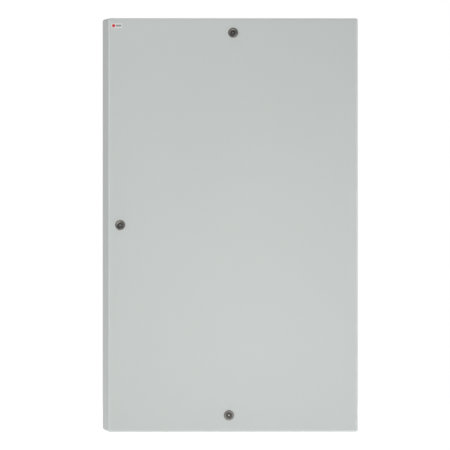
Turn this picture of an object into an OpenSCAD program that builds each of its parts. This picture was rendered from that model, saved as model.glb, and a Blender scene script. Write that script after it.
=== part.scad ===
// Wall-mounted fire alarm control cabinet: sheet-steel body, flush door with three
// quarter-turn locks, and the control equipment on a mounting plate inside.
// Frame: X to the right, Y into the wall, Z up. The origin is the centre of the
// wall-fixing pattern on the rear face, so the cabinet stands in front of it, at -Y.

/* [Cabinet] */
// Overall width
cab_w = 726; // [600:1:900]
// Overall height
cab_h = 1200; // [1000:1:1500]
// Overall depth, from the wall to the face of the door
cab_d = 300; // [250:1:400]
// Sheet thickness of the body
body_t = 1.5; // [1:0.1:2.5]
// Outer radius of the body's four long edges
body_r = 8; // [5:0.5:16]
// Width of the front flange on the lock side, top and bottom
flange_w = 20; // [16:0.5:24]
// Width of the front flange on the hinge side
hinge_flange_w = 44; // [42:0.5:60]
// Depth of the fold around the door opening
flange_return = 10; // [6:0.5:14]
// Distance of the wall fixings from the side walls
fixing_inset_x = 54; // [52:1:58]
// Distance of the wall fixings from the top and bottom
fixing_inset_z = 45; // [38:1:50]
// Radius of the wall-fixing holes
fixing_r = 4.5; // [3:0.1:6]

/* [Door] */
// Depth of the door's edge
door_depth = 22; // [20:0.5:26]
// Sheet thickness of the door
door_t = 1.5; // [1:0.1:2]
// Gap between the door's edge and the body
door_gap = 3; // [2.8:0.1:5]
// Radius of the door's corners and front edges
door_r = 5; // [3.2:0.1:8]
// Number of hinges
hinge_count = 3; // [2:1:4]
// Radius of the hinge pins
pin_r = 2.5; // [2:0.1:2.8]
// Width of the name label
label_w = 31; // [20:1:60]
// Height of the name label
label_h = 13; // [8:1:20]

/* [Locks] */
// Distance of the side lock from the door's edge
side_lock_inset = 35; // [34:0.5:60]
// Distance of the top lock from the door's edge
top_lock_inset = 42; // [34:0.5:60]
// Distance of the bottom lock from the door's edge
bottom_lock_inset = 48; // [34:0.5:60]
// Sideways place of the bottom lock
bottom_lock_x = -12; // [-60:1:60]
// Radius of the lock's face
lock_face_r = 14.3; // [13:0.1:18]
// How far the seal shows round the lock's face
lock_seal_show = 0.7; // [0:0.1:1.5]
// Radius of the lock's threaded barrel
barrel_r = 11; // [10:0.1:12]
// Radius of the turning core
core_r = 8; // [6.5:0.1:8.5]

/* [Mounting plate] */
// Gap between the plate and the side walls
plate_side_gap = 38; // [30:1:50]
// Gap between the plate and the top and bottom
plate_end_gap = 45; // [40:1:60]
// Length of the spacers behind the plate
spacer_len = 25; // [15:1:35]
// Thickness of the plate
plate_t = 2; // [1.5:0.1:3]
// Side of the notch in each corner of the plate
plate_notch = 34; // [30:1:40]

/* [Equipment] */
// Width of the wiring ducts
duct_w = 40; // [30:1:45]
// Depth of the wiring ducts with their covers
duct_d = 57; // [40:1:65]
// Largest number of loop modules
loop_modules_max = 4; // [1:1:6]
// Width of one loop module
module_w = 90; // [70:1:100]
// Width of the power supply
psu_w = 140; // [100:1:150]
// Largest number of terminal blocks
terminals_max = 40; // [6:1:60]
// Pitch of the terminal blocks
terminal_pitch = 6.2; // [5.2:0.1:8]
// Width of the control unit
unit_w = 300; // [260:1:340]
// Height of the control unit
unit_h = 190; // [180:1:200]
// Width of one battery
battery_w = 196; // [150:1:200]
// Height of one battery
battery_h = 165; // [120:1:170]
// Depth of one battery
battery_d = 165; // [76:1:168]

/* [Hidden] */
$fn = 64;

// Depth planes, all measured from the wall face.
face_y = -cab_d;
door_inner_y = face_y + door_t;
door_rear_y = face_y + door_depth;
flange_y = door_rear_y + door_gap;
flange_inner_y = flange_y + body_t;
return_y = flange_y + flange_return;
body_depth = -flange_y;
plate_back_y = -(body_t + spacer_len);
plate_y = plate_back_y - plate_t;

// The door opening in the body's front.
open_w = cab_w - flange_w - hinge_flange_w;
open_h = cab_h - 2 * flange_w;
open_x = (flange_w - hinge_flange_w) / 2;

// Hinges: the axis lies inside the door's edge, where its corners clear the body.
clear = 0.3;
knuckle_r = 5;
hinge_x = cab_w / 2 - door_t - knuckle_r - 0.5;
hinge_y = door_rear_y - 12;
bracket_h = 30;
bracket_t = 3;
bracket_reach = 17;
leaf_knuckle_h = 12;
leaf_t = 2;
hinge_end = 150;
hinge_z = [for (i = [0:hinge_count - 1])
    -cab_h / 2 + hinge_end + i * (cab_h - 2 * hinge_end) / (hinge_count - 1)];

// Seal carrier inside the door and the gasket on it.
channel_w = 12;
channel_t = 1.2;
channel_inset = 5;
hinge_channel_inset = 30;
gasket_t = 3.3;
channel_rear_y = flange_y - 0.2 - gasket_t;

// Locks.
lock_face_t = 2.5;
seal_t = 0.8;
lock_nut_t = 5;
lock_nut_r = 15.6;
cam_t = 3;
cam_w = 14;
cam_grip = 10;
cam_y = return_y + 0.5;
core_face_y = face_y - seal_t - lock_face_t + 0.4;
drive_side = 7.8;
side_lock = [-cab_w / 2 + side_lock_inset, 0];
top_lock = [0, cab_h / 2 - top_lock_inset];
bottom_lock = [bottom_lock_x, -cab_h / 2 + bottom_lock_inset];
lock_places = [side_lock, top_lock, bottom_lock];

// Mounting plate.
plate_w = cab_w - 2 * plate_side_gap;
plate_h = cab_h - 2 * plate_end_gap;
stud_r = 4;
stud_x = plate_w / 2 - 12;
stud_z = plate_h / 2 - plate_notch - 26;
stud_places = [for (sx = [-1, 1], sz = [-1, 1]) [sx * stud_x, sz * stud_z]];
nut_t = 6.5;
washer_t = 1.6;

// Rows of equipment: the batteries stand at the bottom, three equal rows of DIN rail
// stand over them, and the control unit takes the top.
shelf_t = 2;
shelf_flange_h = 22;
shelf_z = -plate_h / 2 + shelf_flange_h + 4;
battery_z = shelf_z + shelf_t;
rows_z = battery_z + battery_h + 27;
unit_zone = unit_h + 20;
row_count = 3;
row_h = (plate_h / 2 - unit_zone - rows_z) / row_count;
duct_edge = 5;
duct_t = 1.8;
duct_wall_d = duct_d - 2;
side_duct_x = plate_w / 2 - duct_edge - duct_w / 2;
rail_end_gap = 10;
rail_len = plate_w - 2 * (duct_edge + duct_w + rail_end_gap);
rail_x = -rail_len / 2;
rail_rim_y = -7.5;
function rail_z(i) = rows_z + i * row_h + (row_h - duct_w) / 2;
function duct_z(i) = rows_z + (i + 1) * row_h - duct_w / 2;
unit_z = plate_h / 2 - unit_zone / 2;

// Devices on the rails.
pole_w = 18;
breaker_h = 82;
breaker_d = 44;
breaker_nose_h = 45;
breaker_nose_d = 66;
toggle_y = plate_y - breaker_nose_d + 6;
toggle_r = 7;
toggle_w = 8;
toggle_lean = 40;
mains_x = rail_x + 20;
battery_breaker_x = mains_x + 2 * pole_w + 10;
psu_h = 112;
psu_d = 88;
psu_x = rail_len / 2 - 20 - psu_w;
module_h = 90;
module_d = 40;
module_nose_h = 58;
module_nose_d = 58;
module_gap = 6;
module_count = min(loop_modules_max, floor((rail_len - 20) / (module_w + module_gap)));
module_x0 = -(module_count * (module_w + module_gap) - module_gap) / 2;
plug_h = 13;
plug_d = 13;
plug_w = module_w - 12;
earth_bar_len = 120;
clamp_w = 9;
terminal_count = min(terminals_max,
    floor((rail_len - earth_bar_len - 40 - 2 * clamp_w) / terminal_pitch));
terminal_x0 = rail_x + 8 + clamp_w;
terminal_h = 44;
terminal_d = 42;
earth_bar_x = rail_len / 2 - earth_bar_len / 2 - 8;

// Control unit.
unit_foot = 4;
unit_case_d = 42;
unit_cover_d = 8;
unit_t = 2.5;
unit_face_y = plate_y - unit_foot - unit_case_d - unit_cover_d;
display_w = 110;
display_h = 46;
display_x = -60;
display_z = 30;
button_side = 14;
button_travel = 1.5;
button_pitch = 34;
button_names_x = [40, 40 + button_pitch, 40 + 2 * button_pitch];
button_z = -42;
lamp_r = 2.5;
lamp_places = [for (i = [0:2], j = [0:1]) [45 + i * 30, 48 - j * 22]];

// Batteries.
battery_gap = 8;
battery_back_y = plate_y - 6;
battery_x = (battery_w + battery_gap) / 2;
post_r = 6;
post_h = 9;
post_x = battery_w / 2 - 26;
post_y = battery_back_y - battery_d + 26;

// Cable entry in the bottom.
gland_open_w = 260;
gland_open_d = 90;
gland_edge = 22;
gland_y = -150;
gland_t = 2;
gland_gasket_t = 1.5;
grommet_rs = [20, 14, 14, 14, 20];
grommet_pitch = 50;

// Earth strap between the door and the hinge-side flange.
strap_z = -330;
strap_r = 2.2;
stud_thread_r = 3;
door_stud_x = hinge_x - 48;
body_stud_x = cab_w / 2 - body_t - 12;
body_stud_y = flange_y + 37;
strap_end_z = strap_z - stud_thread_r - 0.4;
strap_points = [
    [door_stud_x, face_y + 8, strap_end_z], [door_stud_x, face_y + 9, strap_z - 15],
    [door_stud_x + 0.5, face_y + 14, strap_z - 28], [door_stud_x + 1, face_y + 22, strap_z - 38],
    [door_stud_x + 1.5, face_y + 32, strap_z - 45], [door_stud_x + 4, face_y + 42, strap_z - 48],
    [door_stud_x + 10, face_y + 51, strap_z - 48], [door_stud_x + 18, face_y + 57, strap_z - 45],
    [door_stud_x + 26, face_y + 60, strap_z - 38], [body_stud_x - 8, body_stud_y - 0.5, strap_z - 28],
    [body_stud_x - 2, body_stud_y, strap_z - 16], [body_stud_x, body_stud_y, strap_end_z]];

module rounded_rect(w, h, r) {
    square([w - 2 * r, h], center = true);
    square([w, h - 2 * r], center = true);
    for (sx = [-1, 1], sy = [-1, 1])
        translate([sx * (w / 2 - r), sy * (h / 2 - r)]) circle(r);
}

// A flat shape stood up in the XZ plane, from depth y forward by t.
module upright(y, t) {
    translate([0, y, 0]) rotate([90, 0, 0]) linear_extrude(t) children();
}

// A profile drawn as (Y, Z) points and run along X.
module along_x(x, len) {
    translate([x, 0, 0]) rotate([90, 0, 90]) linear_extrude(len) children();
}

// A cylinder that runs forward, towards the door, from depth y.
module forward(x, y, z, r, len) {
    translate([x, y, z]) rotate([90, 0, 0]) cylinder(r = r, h = len);
}

// A centred block given by its middle in X and Z and its two depths.
module block(x, z, w, h, y_back, y_front) {
    translate([x - w / 2, y_front, z - h / 2]) cube([w, y_back - y_front, h]);
}

// A round wire through a list of points; its joints are slightly fuller than its runs.
module wire(points, r) {
    for (i = [0:len(points) - 2]) {
        a = points[i];
        d = points[i + 1] - a;
        translate(a) rotate([0, acos(d[2] / norm(d)), atan2(d[1], d[0])])
            cylinder(r = r, h = norm(d), $fn = 24);
        if (i > 0) translate(a) sphere(r = r * 1.06, $fn = 24);
    }
}

// A tube with 8 sides swept along points as one polyhedron.
module swept_tube(points, r) {
    sides = 8;
    last = len(points) - 1;
    function along(i) = let (d = points[min(i + 1, last)] - points[max(i - 1, 0)]) d / norm(d);
    function flat(i) = let (c = cross(along(i), [0.3, 0.1, 1])) c / norm(c);
    rings = [for (i = [0:last], k = [0:sides - 1])
        points[i] + r * (cos(k * 360 / sides) * flat(i)
            + sin(k * 360 / sides) * cross(along(i), flat(i)))];
    function corner(i, k) = i * sides + k % sides;
    low = [for (i = [0:last - 1], k = [0:sides - 1]) [corner(i, k), corner(i + 1, k), corner(i + 1, k + 1)]];
    high = [for (i = [0:last - 1], k = [0:sides - 1]) [corner(i, k), corner(i + 1, k + 1), corner(i, k + 1)]];
    start_cap = [for (k = [1:sides - 2]) [0, k, k + 1]];
    end_cap = [for (k = [1:sides - 2]) [corner(last, 0), corner(last, k + 1), corner(last, k)]];
    polyhedron(rings, concat(low, high, start_cap, end_cap));
}

// ---------------------------------------------------------------- body

module opening_outline(extra) {
    translate([open_x, 0]) square([open_w + 2 * extra, open_h + 2 * extra], center = true);
}

module body_shell() color("#c3c8c6") difference() {
    union() {
        upright(0, body_depth) difference() {
            rounded_rect(cab_w, cab_h, body_r);
            rounded_rect(cab_w - 2 * body_t, cab_h - 2 * body_t, body_r - body_t);
        }
        upright(flange_inner_y, body_t) difference() {
            rounded_rect(cab_w - body_t, cab_h - body_t, body_r - body_t / 2);
            opening_outline(0);
        }
        upright(return_y, flange_return) difference() {
            opening_outline(body_t);
            opening_outline(0);
        }
    }
    for (z = hinge_z) hinge_slot(z);
    translate([-gland_open_w / 2, gland_y - gland_open_d / 2, -cab_h / 2 - 1])
        cube([gland_open_w, gland_open_d, body_t + 2]);
}

// The slot that lets a hinge bracket through the flange.
module hinge_slot(z) {
    translate([hinge_x - bracket_reach - bracket_t / 2 - clear, flange_y - 1, z - bracket_h / 2 - clear])
        cube([bracket_t + 2 * clear, body_t + 2, bracket_h + 2 * clear]);
}

module rear_panel() color("#c3c8c6") upright(0, body_t) difference() {
    rounded_rect(cab_w - 2 * body_t, cab_h - 2 * body_t, body_r - body_t);
    for (sx = [-1, 1], sz = [-1, 1])
        translate([sx * (cab_w / 2 - fixing_inset_x), sz * (cab_h / 2 - fixing_inset_z)])
            circle(fixing_r);
}

// ---------------------------------------------------------------- cable entry

gland_z = -cab_h / 2 + body_t;
function grommet_x(i) = (i - (len(grommet_rs) - 1) / 2) * grommet_pitch;

module gland_outline() {
    square([gland_open_w + 2 * gland_edge, gland_open_d + 2 * gland_edge], center = true);
}

module gland_screw_places() {
    for (sx = [-1, 0, 1], sy = [-1, 1])
        translate([sx * (gland_open_w + gland_edge) / 2, gland_y + sy * (gland_open_d + gland_edge) / 2])
            children();
}

module gland_plate_gasket() color("#2a2a2a") translate([0, 0, gland_z]) linear_extrude(gland_gasket_t)
    difference() {
        translate([0, gland_y]) gland_outline();
        translate([0, gland_y]) square([gland_open_w, gland_open_d], center = true);
        gland_screw_places() circle(screw_r + 0.2);
    }

module gland_plate() color("#c3c8c6") translate([0, 0, gland_z + gland_gasket_t]) linear_extrude(gland_t)
    difference() {
        translate([0, gland_y]) gland_outline();
        for (i = [0:len(grommet_rs) - 1]) translate([grommet_x(i), gland_y]) circle(grommet_rs[i]);
        gland_screw_places() circle(screw_r + 0.2);
    }

// A closed membrane grommet: a lip on each side of the plate and a thin web to pierce.
module cable_grommet(r) {
    lip = 2.2;
    bottom = gland_z + gland_gasket_t;
    translate([0, 0, bottom]) cylinder(r = r - 0.1, h = gland_t);
    translate([0, 0, bottom + gland_t]) cylinder(r = r + 3, h = lip);
    translate([0, 0, bottom + gland_t + lip]) difference() {
        cylinder(r1 = r - 1, r2 = r * 0.55, h = r * 0.7);
        translate([0, 0, -0.01]) cylinder(r1 = r - 3, r2 = r * 0.55 - 2, h = r * 0.7 - 1.5);
    }
    translate([0, 0, bottom - 1.6]) cylinder(r = r + 2.4, h = 1.6);
}

module cable_grommets() color("#7d8284")
    for (i = [0:len(grommet_rs) - 1]) translate([grommet_x(i), gland_y, 0]) cable_grommet(grommet_rs[i]);

// ---------------------------------------------------------------- mounting plate

module plate_studs() color("#b8bcc0") for (p = stud_places)
    forward(p[0], -body_t, p[1], stud_r, spacer_len + plate_t + washer_t + nut_t + 3);

// Spacers behind the plate, washers and nuts in front of it.
module plate_fixings() color("#b8bcc0") for (p = stud_places) {
    difference() {
        forward(p[0], -body_t, p[1], stud_r + 4, spacer_len);
        forward(p[0], -body_t + 1, p[1], stud_r + 0.1, spacer_len + 2);
    }
    difference() {
        forward(p[0], plate_y, p[1], stud_r * 2, washer_t);
        forward(p[0], plate_y + 1, p[1], stud_r + 0.1, washer_t + 2);
    }
    difference() {
        translate([p[0], plate_y - washer_t, p[1]]) rotate([90, 0, 0])
            cylinder(r = stud_r * 1.87, h = nut_t, $fn = 6);
        forward(p[0], plate_y, p[1], stud_r + 0.1, nut_t + washer_t + 1);
    }
}

screw_r = 2;
screw_head_r = 4;
screw_head_h = 2.4;
rail_screw_places = [for (i = [0:row_count - 1], s = [-1, 1]) [s * (rail_len / 2 - 12), rail_z(i)]];
shelf_w = 2 * battery_w + battery_gap + 4;
shelf_screw_places = [for (s = [-1, 1], k = [0, 1]) [s * (shelf_w / 2 - 14 - 60 * k), shelf_z - 12]];
foot_screw_places = [for (s = [-1, 1]) [s * (shelf_w / 2 + 16), battery_z + battery_h * 0.6]];

module mounting_plate() color("#c9cbc8") difference() {
    upright(plate_back_y, plate_t) difference() {
        square([plate_w, plate_h], center = true);
        for (sx = [-1, 1], sz = [-1, 1]) translate([sx * plate_w / 2, sz * plate_h / 2])
            square(2 * plate_notch, center = true);
        for (p = stud_places) translate(p) circle(stud_r + 0.5);
        for (p = concat(rail_screw_places, shelf_screw_places, foot_screw_places))
            translate(p) circle(screw_r + 0.1);
    }
}

// A pan-head screw seated at depth y, with its shank in the plate.
module plate_screw(p, y) {
    forward(p[0], y, p[1], screw_head_r, screw_head_h);
    forward(p[0], plate_back_y, p[1], screw_r, plate_back_y - y + 1);
}

// The screws of the rails, the shelf, the battery bracket and the gland plate.
module panel_screws() color("#b8bcc0") {
    for (p = rail_screw_places) plate_screw(p, plate_y - 1);
    for (p = shelf_screw_places) plate_screw(p, plate_y - shelf_t);
    for (p = foot_screw_places) plate_screw(p, plate_y - bracket_strip_t);
    gland_screw_places() translate([0, 0, gland_z]) {
        translate([0, 0, gland_gasket_t + gland_t]) cylinder(r = screw_head_r, h = screw_head_h);
        cylinder(r = screw_r, h = gland_gasket_t + gland_t + 1);
    }
}

// ---------------------------------------------------------------- hinges

// A bent steel arm welded behind the flange, with a knuckle on the hinge axis.
module hinge_bracket(z) {
    arm_x = hinge_x - bracket_reach;
    difference() {
        union() {
            translate([arm_x - bracket_t / 2, hinge_y - bracket_t / 2, z - bracket_h / 2])
                cube([bracket_t, flange_inner_y + bracket_t - hinge_y + bracket_t / 2, bracket_h]);
            translate([arm_x - bracket_t / 2, flange_inner_y, z - bracket_h / 2])
                cube([cab_w / 2 - body_t - clear - arm_x + bracket_t / 2, bracket_t, bracket_h]);
            translate([arm_x, hinge_y - bracket_t / 2, z - bracket_h / 2])
                cube([bracket_reach, bracket_t, bracket_h]);
            translate([hinge_x, hinge_y, z - bracket_h / 2]) cylinder(r = knuckle_r, h = bracket_h);
        }
        translate([hinge_x, hinge_y, z - bracket_h / 2 - 1]) cylinder(r = pin_r + 0.03, h = bracket_h + 2);
    }
}

module hinge_brackets() color("#c3c8c6") for (z = hinge_z) hinge_bracket(z);

module hinge_pins() color("#b8bcc0") for (z = hinge_z) {
    pin_len = bracket_h + 2 * (leaf_knuckle_h + clear);
    translate([hinge_x, hinge_y, z - pin_len / 2 - 1]) cylinder(r = pin_r, h = pin_len + 1);
    translate([hinge_x, hinge_y, z + pin_len / 2 + 0.2]) cylinder(r = pin_r + 1.6, h = 1.8);
    translate([hinge_x, hinge_y, z + pin_len / 2 - 0.1]) cylinder(r = pin_r, h = 0.5);
}

// The door's half: a plate on the inside of the door with a knuckle above and below.
module hinge_leaf(z) {
    plate_x0 = hinge_x - 22;
    plate_x1 = cab_w / 2 - max(door_r, door_t) - 0.2;
    leaf_h = bracket_h + 2 * (leaf_knuckle_h + clear);
    translate([plate_x0, door_inner_y, z - leaf_h / 2])
        cube([plate_x1 - plate_x0, leaf_t, leaf_h]);
    for (s = [-1, 1]) {
        zk = z + s * (bracket_h / 2 + clear + leaf_knuckle_h / 2) - leaf_knuckle_h / 2;
        difference() {
            union() {
                translate([hinge_x, hinge_y, zk]) cylinder(r = knuckle_r, h = leaf_knuckle_h);
                translate([hinge_x - knuckle_r, door_inner_y + leaf_t / 2, zk])
                    cube([min(2 * knuckle_r, plate_x1 - hinge_x + knuckle_r),
                        hinge_y - door_inner_y - leaf_t / 2, leaf_knuckle_h]);
            }
            translate([hinge_x, hinge_y, zk - 1]) cylinder(r = pin_r + 0.05, h = leaf_knuckle_h + 2);
        }
    }
}

module hinge_leaves() color("#c3c8c6") for (z = hinge_z) hinge_leaf(z);

// ---------------------------------------------------------------- door

// A block with rounded corners and a rounded front edge; its front is at depth y.
module cushioned_block(w, h, y_back, y_front, r) {
    upright(y_back, y_back - y_front - r) rounded_rect(w, h, r);
    upright(y_back, y_back - y_front) square([w - 2 * r, h - 2 * r], center = true);
    for (s = [-1, 1]) {
        translate([-(w / 2 - r), y_front + r, s * (h / 2 - r)]) rotate([0, 90, 0]) cylinder(r = r, h = w - 2 * r);
        translate([s * (w / 2 - r), y_front + r, -(h / 2 - r)]) cylinder(r = r, h = h - 2 * r);
    }
    for (sx = [-1, 1], sz = [-1, 1])
        translate([sx * (w / 2 - r), y_front + r, sz * (h / 2 - r)]) sphere(r);
}

module door_panel() color("#c3c8c6") difference() {
    cushioned_block(cab_w, cab_h, door_rear_y, face_y, door_r);
    cushioned_block(cab_w - 2 * door_t, cab_h - 2 * door_t, door_rear_y + 1, door_inner_y, door_r - door_t);
    for (p = lock_places) forward(p[0], door_inner_y + 1, p[1], barrel_r + 0.2, door_t + 2);
}

// The gasket line, centred on the channels: its outer edge is the body's flange less a margin.
seal_w = cab_w - channel_inset - hinge_channel_inset;
seal_h = cab_h - 2 * channel_inset;
seal_x = (channel_inset - hinge_channel_inset) / 2;

// One folded channel, open towards the door's face.
module channel_bar(len, w) {
    difference() {
        cube([len, channel_rear_y - door_inner_y, w]);
        translate([-1, -1, channel_t])
            cube([len + 2, channel_rear_y - door_inner_y - channel_t + 1, w - 2 * channel_t]);
    }
}

module door_channels() color("#c3c8c6") {
    for (s = [-1, 1]) translate([seal_x - seal_w / 2, door_inner_y, s * (seal_h / 2 - channel_w / 2) - channel_w / 2])
        channel_bar(seal_w, channel_w);
    for (s = [-1, 1])
        translate([seal_x + s * (seal_w / 2 - channel_w / 2) - channel_w / 2, door_inner_y, seal_h / 2 - channel_w])
            rotate([0, 90, 0]) channel_bar(seal_h - 2 * channel_w, channel_w);
}

module door_gasket() color("#26282a") upright(channel_rear_y + gasket_t, gasket_t) translate([seal_x, 0])
    difference() {
        square([seal_w - 2, seal_h - 2], center = true);
        square([seal_w - 2 * channel_w + 2, seal_h - 2 * channel_w + 2], center = true);
    }

stiffener_x = 165;
stiffener_len = cab_h - 2 * 110;
stiffener_d = 18;
stiffener_w = 30;
stiffener_foot = 10;

// A hat-section bar welded down the inside of the door.
module door_stiffener(x) {
    translate([x, door_inner_y, -stiffener_len / 2]) linear_extrude(stiffener_len) difference() {
        union() {
            translate([-stiffener_w / 2, 0]) square([stiffener_w, stiffener_d]);
            translate([-stiffener_w / 2 - stiffener_foot, 0])
                square([stiffener_w + 2 * stiffener_foot, channel_t]);
        }
        translate([-stiffener_w / 2 + channel_t, -1])
            square([stiffener_w - 2 * channel_t, stiffener_d - channel_t + 1]);
    }
}

module door_stiffeners() color("#c3c8c6") for (s = [-1, 1]) difference() {
    door_stiffener(s * stiffener_x);
    for (i = [-8:8]) forward(s * stiffener_x, door_inner_y + stiffener_d + 1, i * stiffener_len / 18, 3, 4);
}

pocket_w = 236;
pocket_h = 170;
pocket_d = 26;
pocket_t = 2;
pocket_z = -190;

// The document pocket: an open-topped tray held to the door.
module document_pocket() color("#9aa0a2") difference() {
    translate([-pocket_w / 2, door_inner_y, pocket_z - pocket_h / 2]) cube([pocket_w, pocket_d, pocket_h]);
    translate([-pocket_w / 2 + pocket_t, door_inner_y + pocket_t, pocket_z - pocket_h / 2 + pocket_t])
        cube([pocket_w - 2 * pocket_t, pocket_d - 2 * pocket_t, pocket_h]);
    translate([-pocket_w / 4, door_inner_y + pocket_t + 1, pocket_z + pocket_h / 2 - 40])
        cube([pocket_w / 2, pocket_d, 41]);
}

module name_label() color("#eef0f0") upright(face_y, 0.4)
    translate([-cab_w / 2 + 9 + label_w / 2, cab_h / 2 - 15 - label_h / 2]) rounded_rect(label_w, label_h, 1.2);

// ---------------------------------------------------------------- locks

module lock_housings() color("#8f9293") for (p = lock_places) difference() {
    union() {
        forward(p[0], face_y - seal_t, p[1], lock_face_r, lock_face_t);
        forward(p[0], face_y + door_depth + 2, p[1], barrel_r, door_depth + 2 + seal_t + 0.1);
    }
    forward(p[0], face_y + door_depth + 3, p[1], core_r + 0.05, door_depth + 10);
    forward(p[0], face_y - seal_t - lock_face_t + 1, p[1], core_r + 2, 2);
}

module lock_seals() color("#1c1d1e") for (p = lock_places) difference() {
    forward(p[0], face_y, p[1], lock_face_r + lock_seal_show, seal_t);
    forward(p[0], face_y + 1, p[1], barrel_r + 0.1, seal_t + 2);
}

module lock_nuts() color("#b8bcc0") for (p = lock_places) difference() {
    translate([p[0], door_inner_y + lock_nut_t, p[1]]) rotate([90, 0, 0])
        cylinder(r = lock_nut_r, h = lock_nut_t, $fn = 6);
    forward(p[0], door_inner_y + lock_nut_t + 1, p[1], barrel_r + 0.1, lock_nut_t + 2);
}

// The turning core: a round plug with a two-bit key socket and a square drive behind.
module lock_core(p) color("#6d7072") difference() {
    union() {
        forward(p[0], face_y + door_depth + 2, p[1], core_r, face_y + door_depth + 2 - core_face_y);
        forward(p[0], cam_y - 1, p[1], 6.5, cam_y - 1 - (face_y + door_depth + 1));
        block(p[0], p[1], drive_side, drive_side, cam_y + cam_t, cam_y - 2);
    }
    difference() {
        union() {
            forward(p[0], core_face_y + 7, p[1], 4.4, 9);
            block(p[0], p[1], 2.6, 12.6, core_face_y + 7, core_face_y - 1);
        }
        forward(p[0], core_face_y + 8, p[1], 1.6, 7.6);
    }
}

// The cam points along the door's edge while the lock is open; a quarter turn sends it behind the fold.
module lock_cam(p, reach, lean) color("#b8bcc0") translate([p[0], 0, p[1]]) rotate([0, lean, 0]) {
    difference() {
        union() {
            forward(0, cam_y + cam_t, 0, 9, cam_t);
            translate([0, cam_y, -cam_w / 2]) cube([reach - cam_w / 2, cam_t, cam_w]);
            forward(reach - cam_w / 2, cam_y + cam_t, 0, cam_w / 2, cam_t);
        }
        block(0, 0, drive_side + 0.2, drive_side + 0.2, cam_y + cam_t + 1, cam_y - 1);
    }
    translate([0, cam_y + cam_t + 4, 0]) rotate([90, 0, 0]) cylinder(r = 6.5, h = 4 - 0.01, $fn = 6);
}

// ---------------------------------------------------------------- rails and ducts

module din_rail(z) difference() {
    translate([0, plate_y, z]) along_x(rail_x, rail_len) polygon([
        [0, -13.5], [0, 13.5], [-6.5, 13.5], [-6.5, 17.5], [-7.5, 17.5], [-7.5, 12.5],
        [-1, 12.5], [-1, -12.5], [-7.5, -12.5], [-7.5, -17.5], [-6.5, -17.5], [-6.5, -13.5]]);
    for (s = [-1, 1]) forward(s * (rail_len / 2 - 12), plate_y + 1, z, screw_r + 0.1, 3);
}

module din_rails() color("#c9cbc8") for (i = [0:row_count - 1]) din_rail(rail_z(i));

finger_pitch = 20;
finger_w = 12.5;
finger_root = 14;

// A duct's slotted wall: a comb of fingers standing on a plain strip.
function comb(len) = let (n = floor(len / finger_pitch), u0 = (len - n * finger_pitch) / 2)
    concat([[0, 0]], [[0, -finger_root]],
        [for (i = [0:n - 1], k = [0:3]) let (u = u0 + i * finger_pitch + (finger_pitch - finger_w) / 2)
            [u + (k > 1 ? finger_w : 0), k == 1 || k == 2 ? -duct_wall_d : -finger_root]],
        [[len, -finger_root]], [[len, 0]]);

module duct_body(len) {
    translate([-len / 2, -duct_t, -duct_w / 2]) cube([len, duct_t, duct_w]);
    for (s = [-1, 1]) translate([-len / 2, 0, s * (duct_w - duct_t) / 2 - duct_t / 2])
        linear_extrude(duct_t) polygon(comb(len));
}

module duct_cover(len) {
    translate([-len / 2, -duct_d, -duct_w / 2]) cube([len, duct_d - duct_wall_d - 0.2, duct_w]);
    for (s = [-1, 1])
        translate([-len / 2, -duct_wall_d - 0.5, s * (duct_w / 2 - duct_t - 1.2) - 0.6])
            cube([len, 6, 1.2]);
}

// Places of the five ducts: two down the sides of the plate and one over each row.
module each_duct() {
    cross_len = plate_w - 2 * (duct_edge + duct_w) - 2;
    side_len = row_count * row_h;
    for (s = [-1, 1]) translate([s * side_duct_x, plate_y, rows_z + side_len / 2])
        rotate([0, 90, 0]) if ($cover) duct_cover(side_len); else duct_body(side_len);
    for (i = [0:row_count - 1]) translate([0, plate_y, duct_z(i)])
        if ($cover) duct_cover(cross_len); else duct_body(cross_len);
}

// The side ducts' inner walls are cut away where the cross ducts run into them.
module wiring_ducts() color("#b9bdbf") difference() {
    each_duct($cover = false);
    for (s = [-1, 1], i = [0:row_count - 1])
        block(s * (side_duct_x - duct_w / 2 + duct_t / 2), duct_z(i), duct_t + 0.6, duct_w - 2 * duct_t,
            plate_y - finger_root, plate_y - duct_wall_d - 1);
}

module duct_covers() color("#c4c8ca") each_duct($cover = true);

// ---------------------------------------------------------------- rail devices

// The side profile of a device that hooks on a rail: a tall back and a lower nose.
function rail_profile(h, d, nose_h, nose_d) = [
    [-5, h / 2], [-5, 14.2], [-6.3, 14.2], [-6.3, 17.8], [-7.7, 17.8], [-7.7, -17.8],
    [-6.3, -17.8], [-6.3, -14.2], [-5, -14.2], [-5, -h / 2], [-d, -h / 2],
    [-d, -nose_h / 2], [-nose_d, -nose_h / 2], [-nose_d, nose_h / 2], [-d, nose_h / 2], [-d, h / 2]];

module rail_device(x, z, w, h, d, nose_h, nose_d) {
    translate([0, plate_y, z]) along_x(x, w) polygon(rail_profile(h, d, nose_h, nose_d));
}

// One or more breaker poles side by side, with a window for each toggle.
module breaker(x, poles) difference() {
    rail_device(x, rail_z(1), poles * pole_w, breaker_h, breaker_d, breaker_nose_h, breaker_nose_d);
    for (i = [0:poles - 1]) {
        cx = x + (i + 0.5) * pole_w;
        translate([cx - toggle_w / 2 - 0.5, toggle_y, rail_z(1)]) rotate([0, 90, 0])
            cylinder(r = toggle_r + 0.4, h = toggle_w + 1);
        translate([cx - toggle_w / 2 - 0.5, toggle_y - 10, rail_z(1) - 13]) cube([toggle_w + 1, 11, 26]);
        for (s = [-1, 1]) forward(cx, plate_y - breaker_d + 6, rail_z(1) + s * 33, 3, 10);
    }
}

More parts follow.
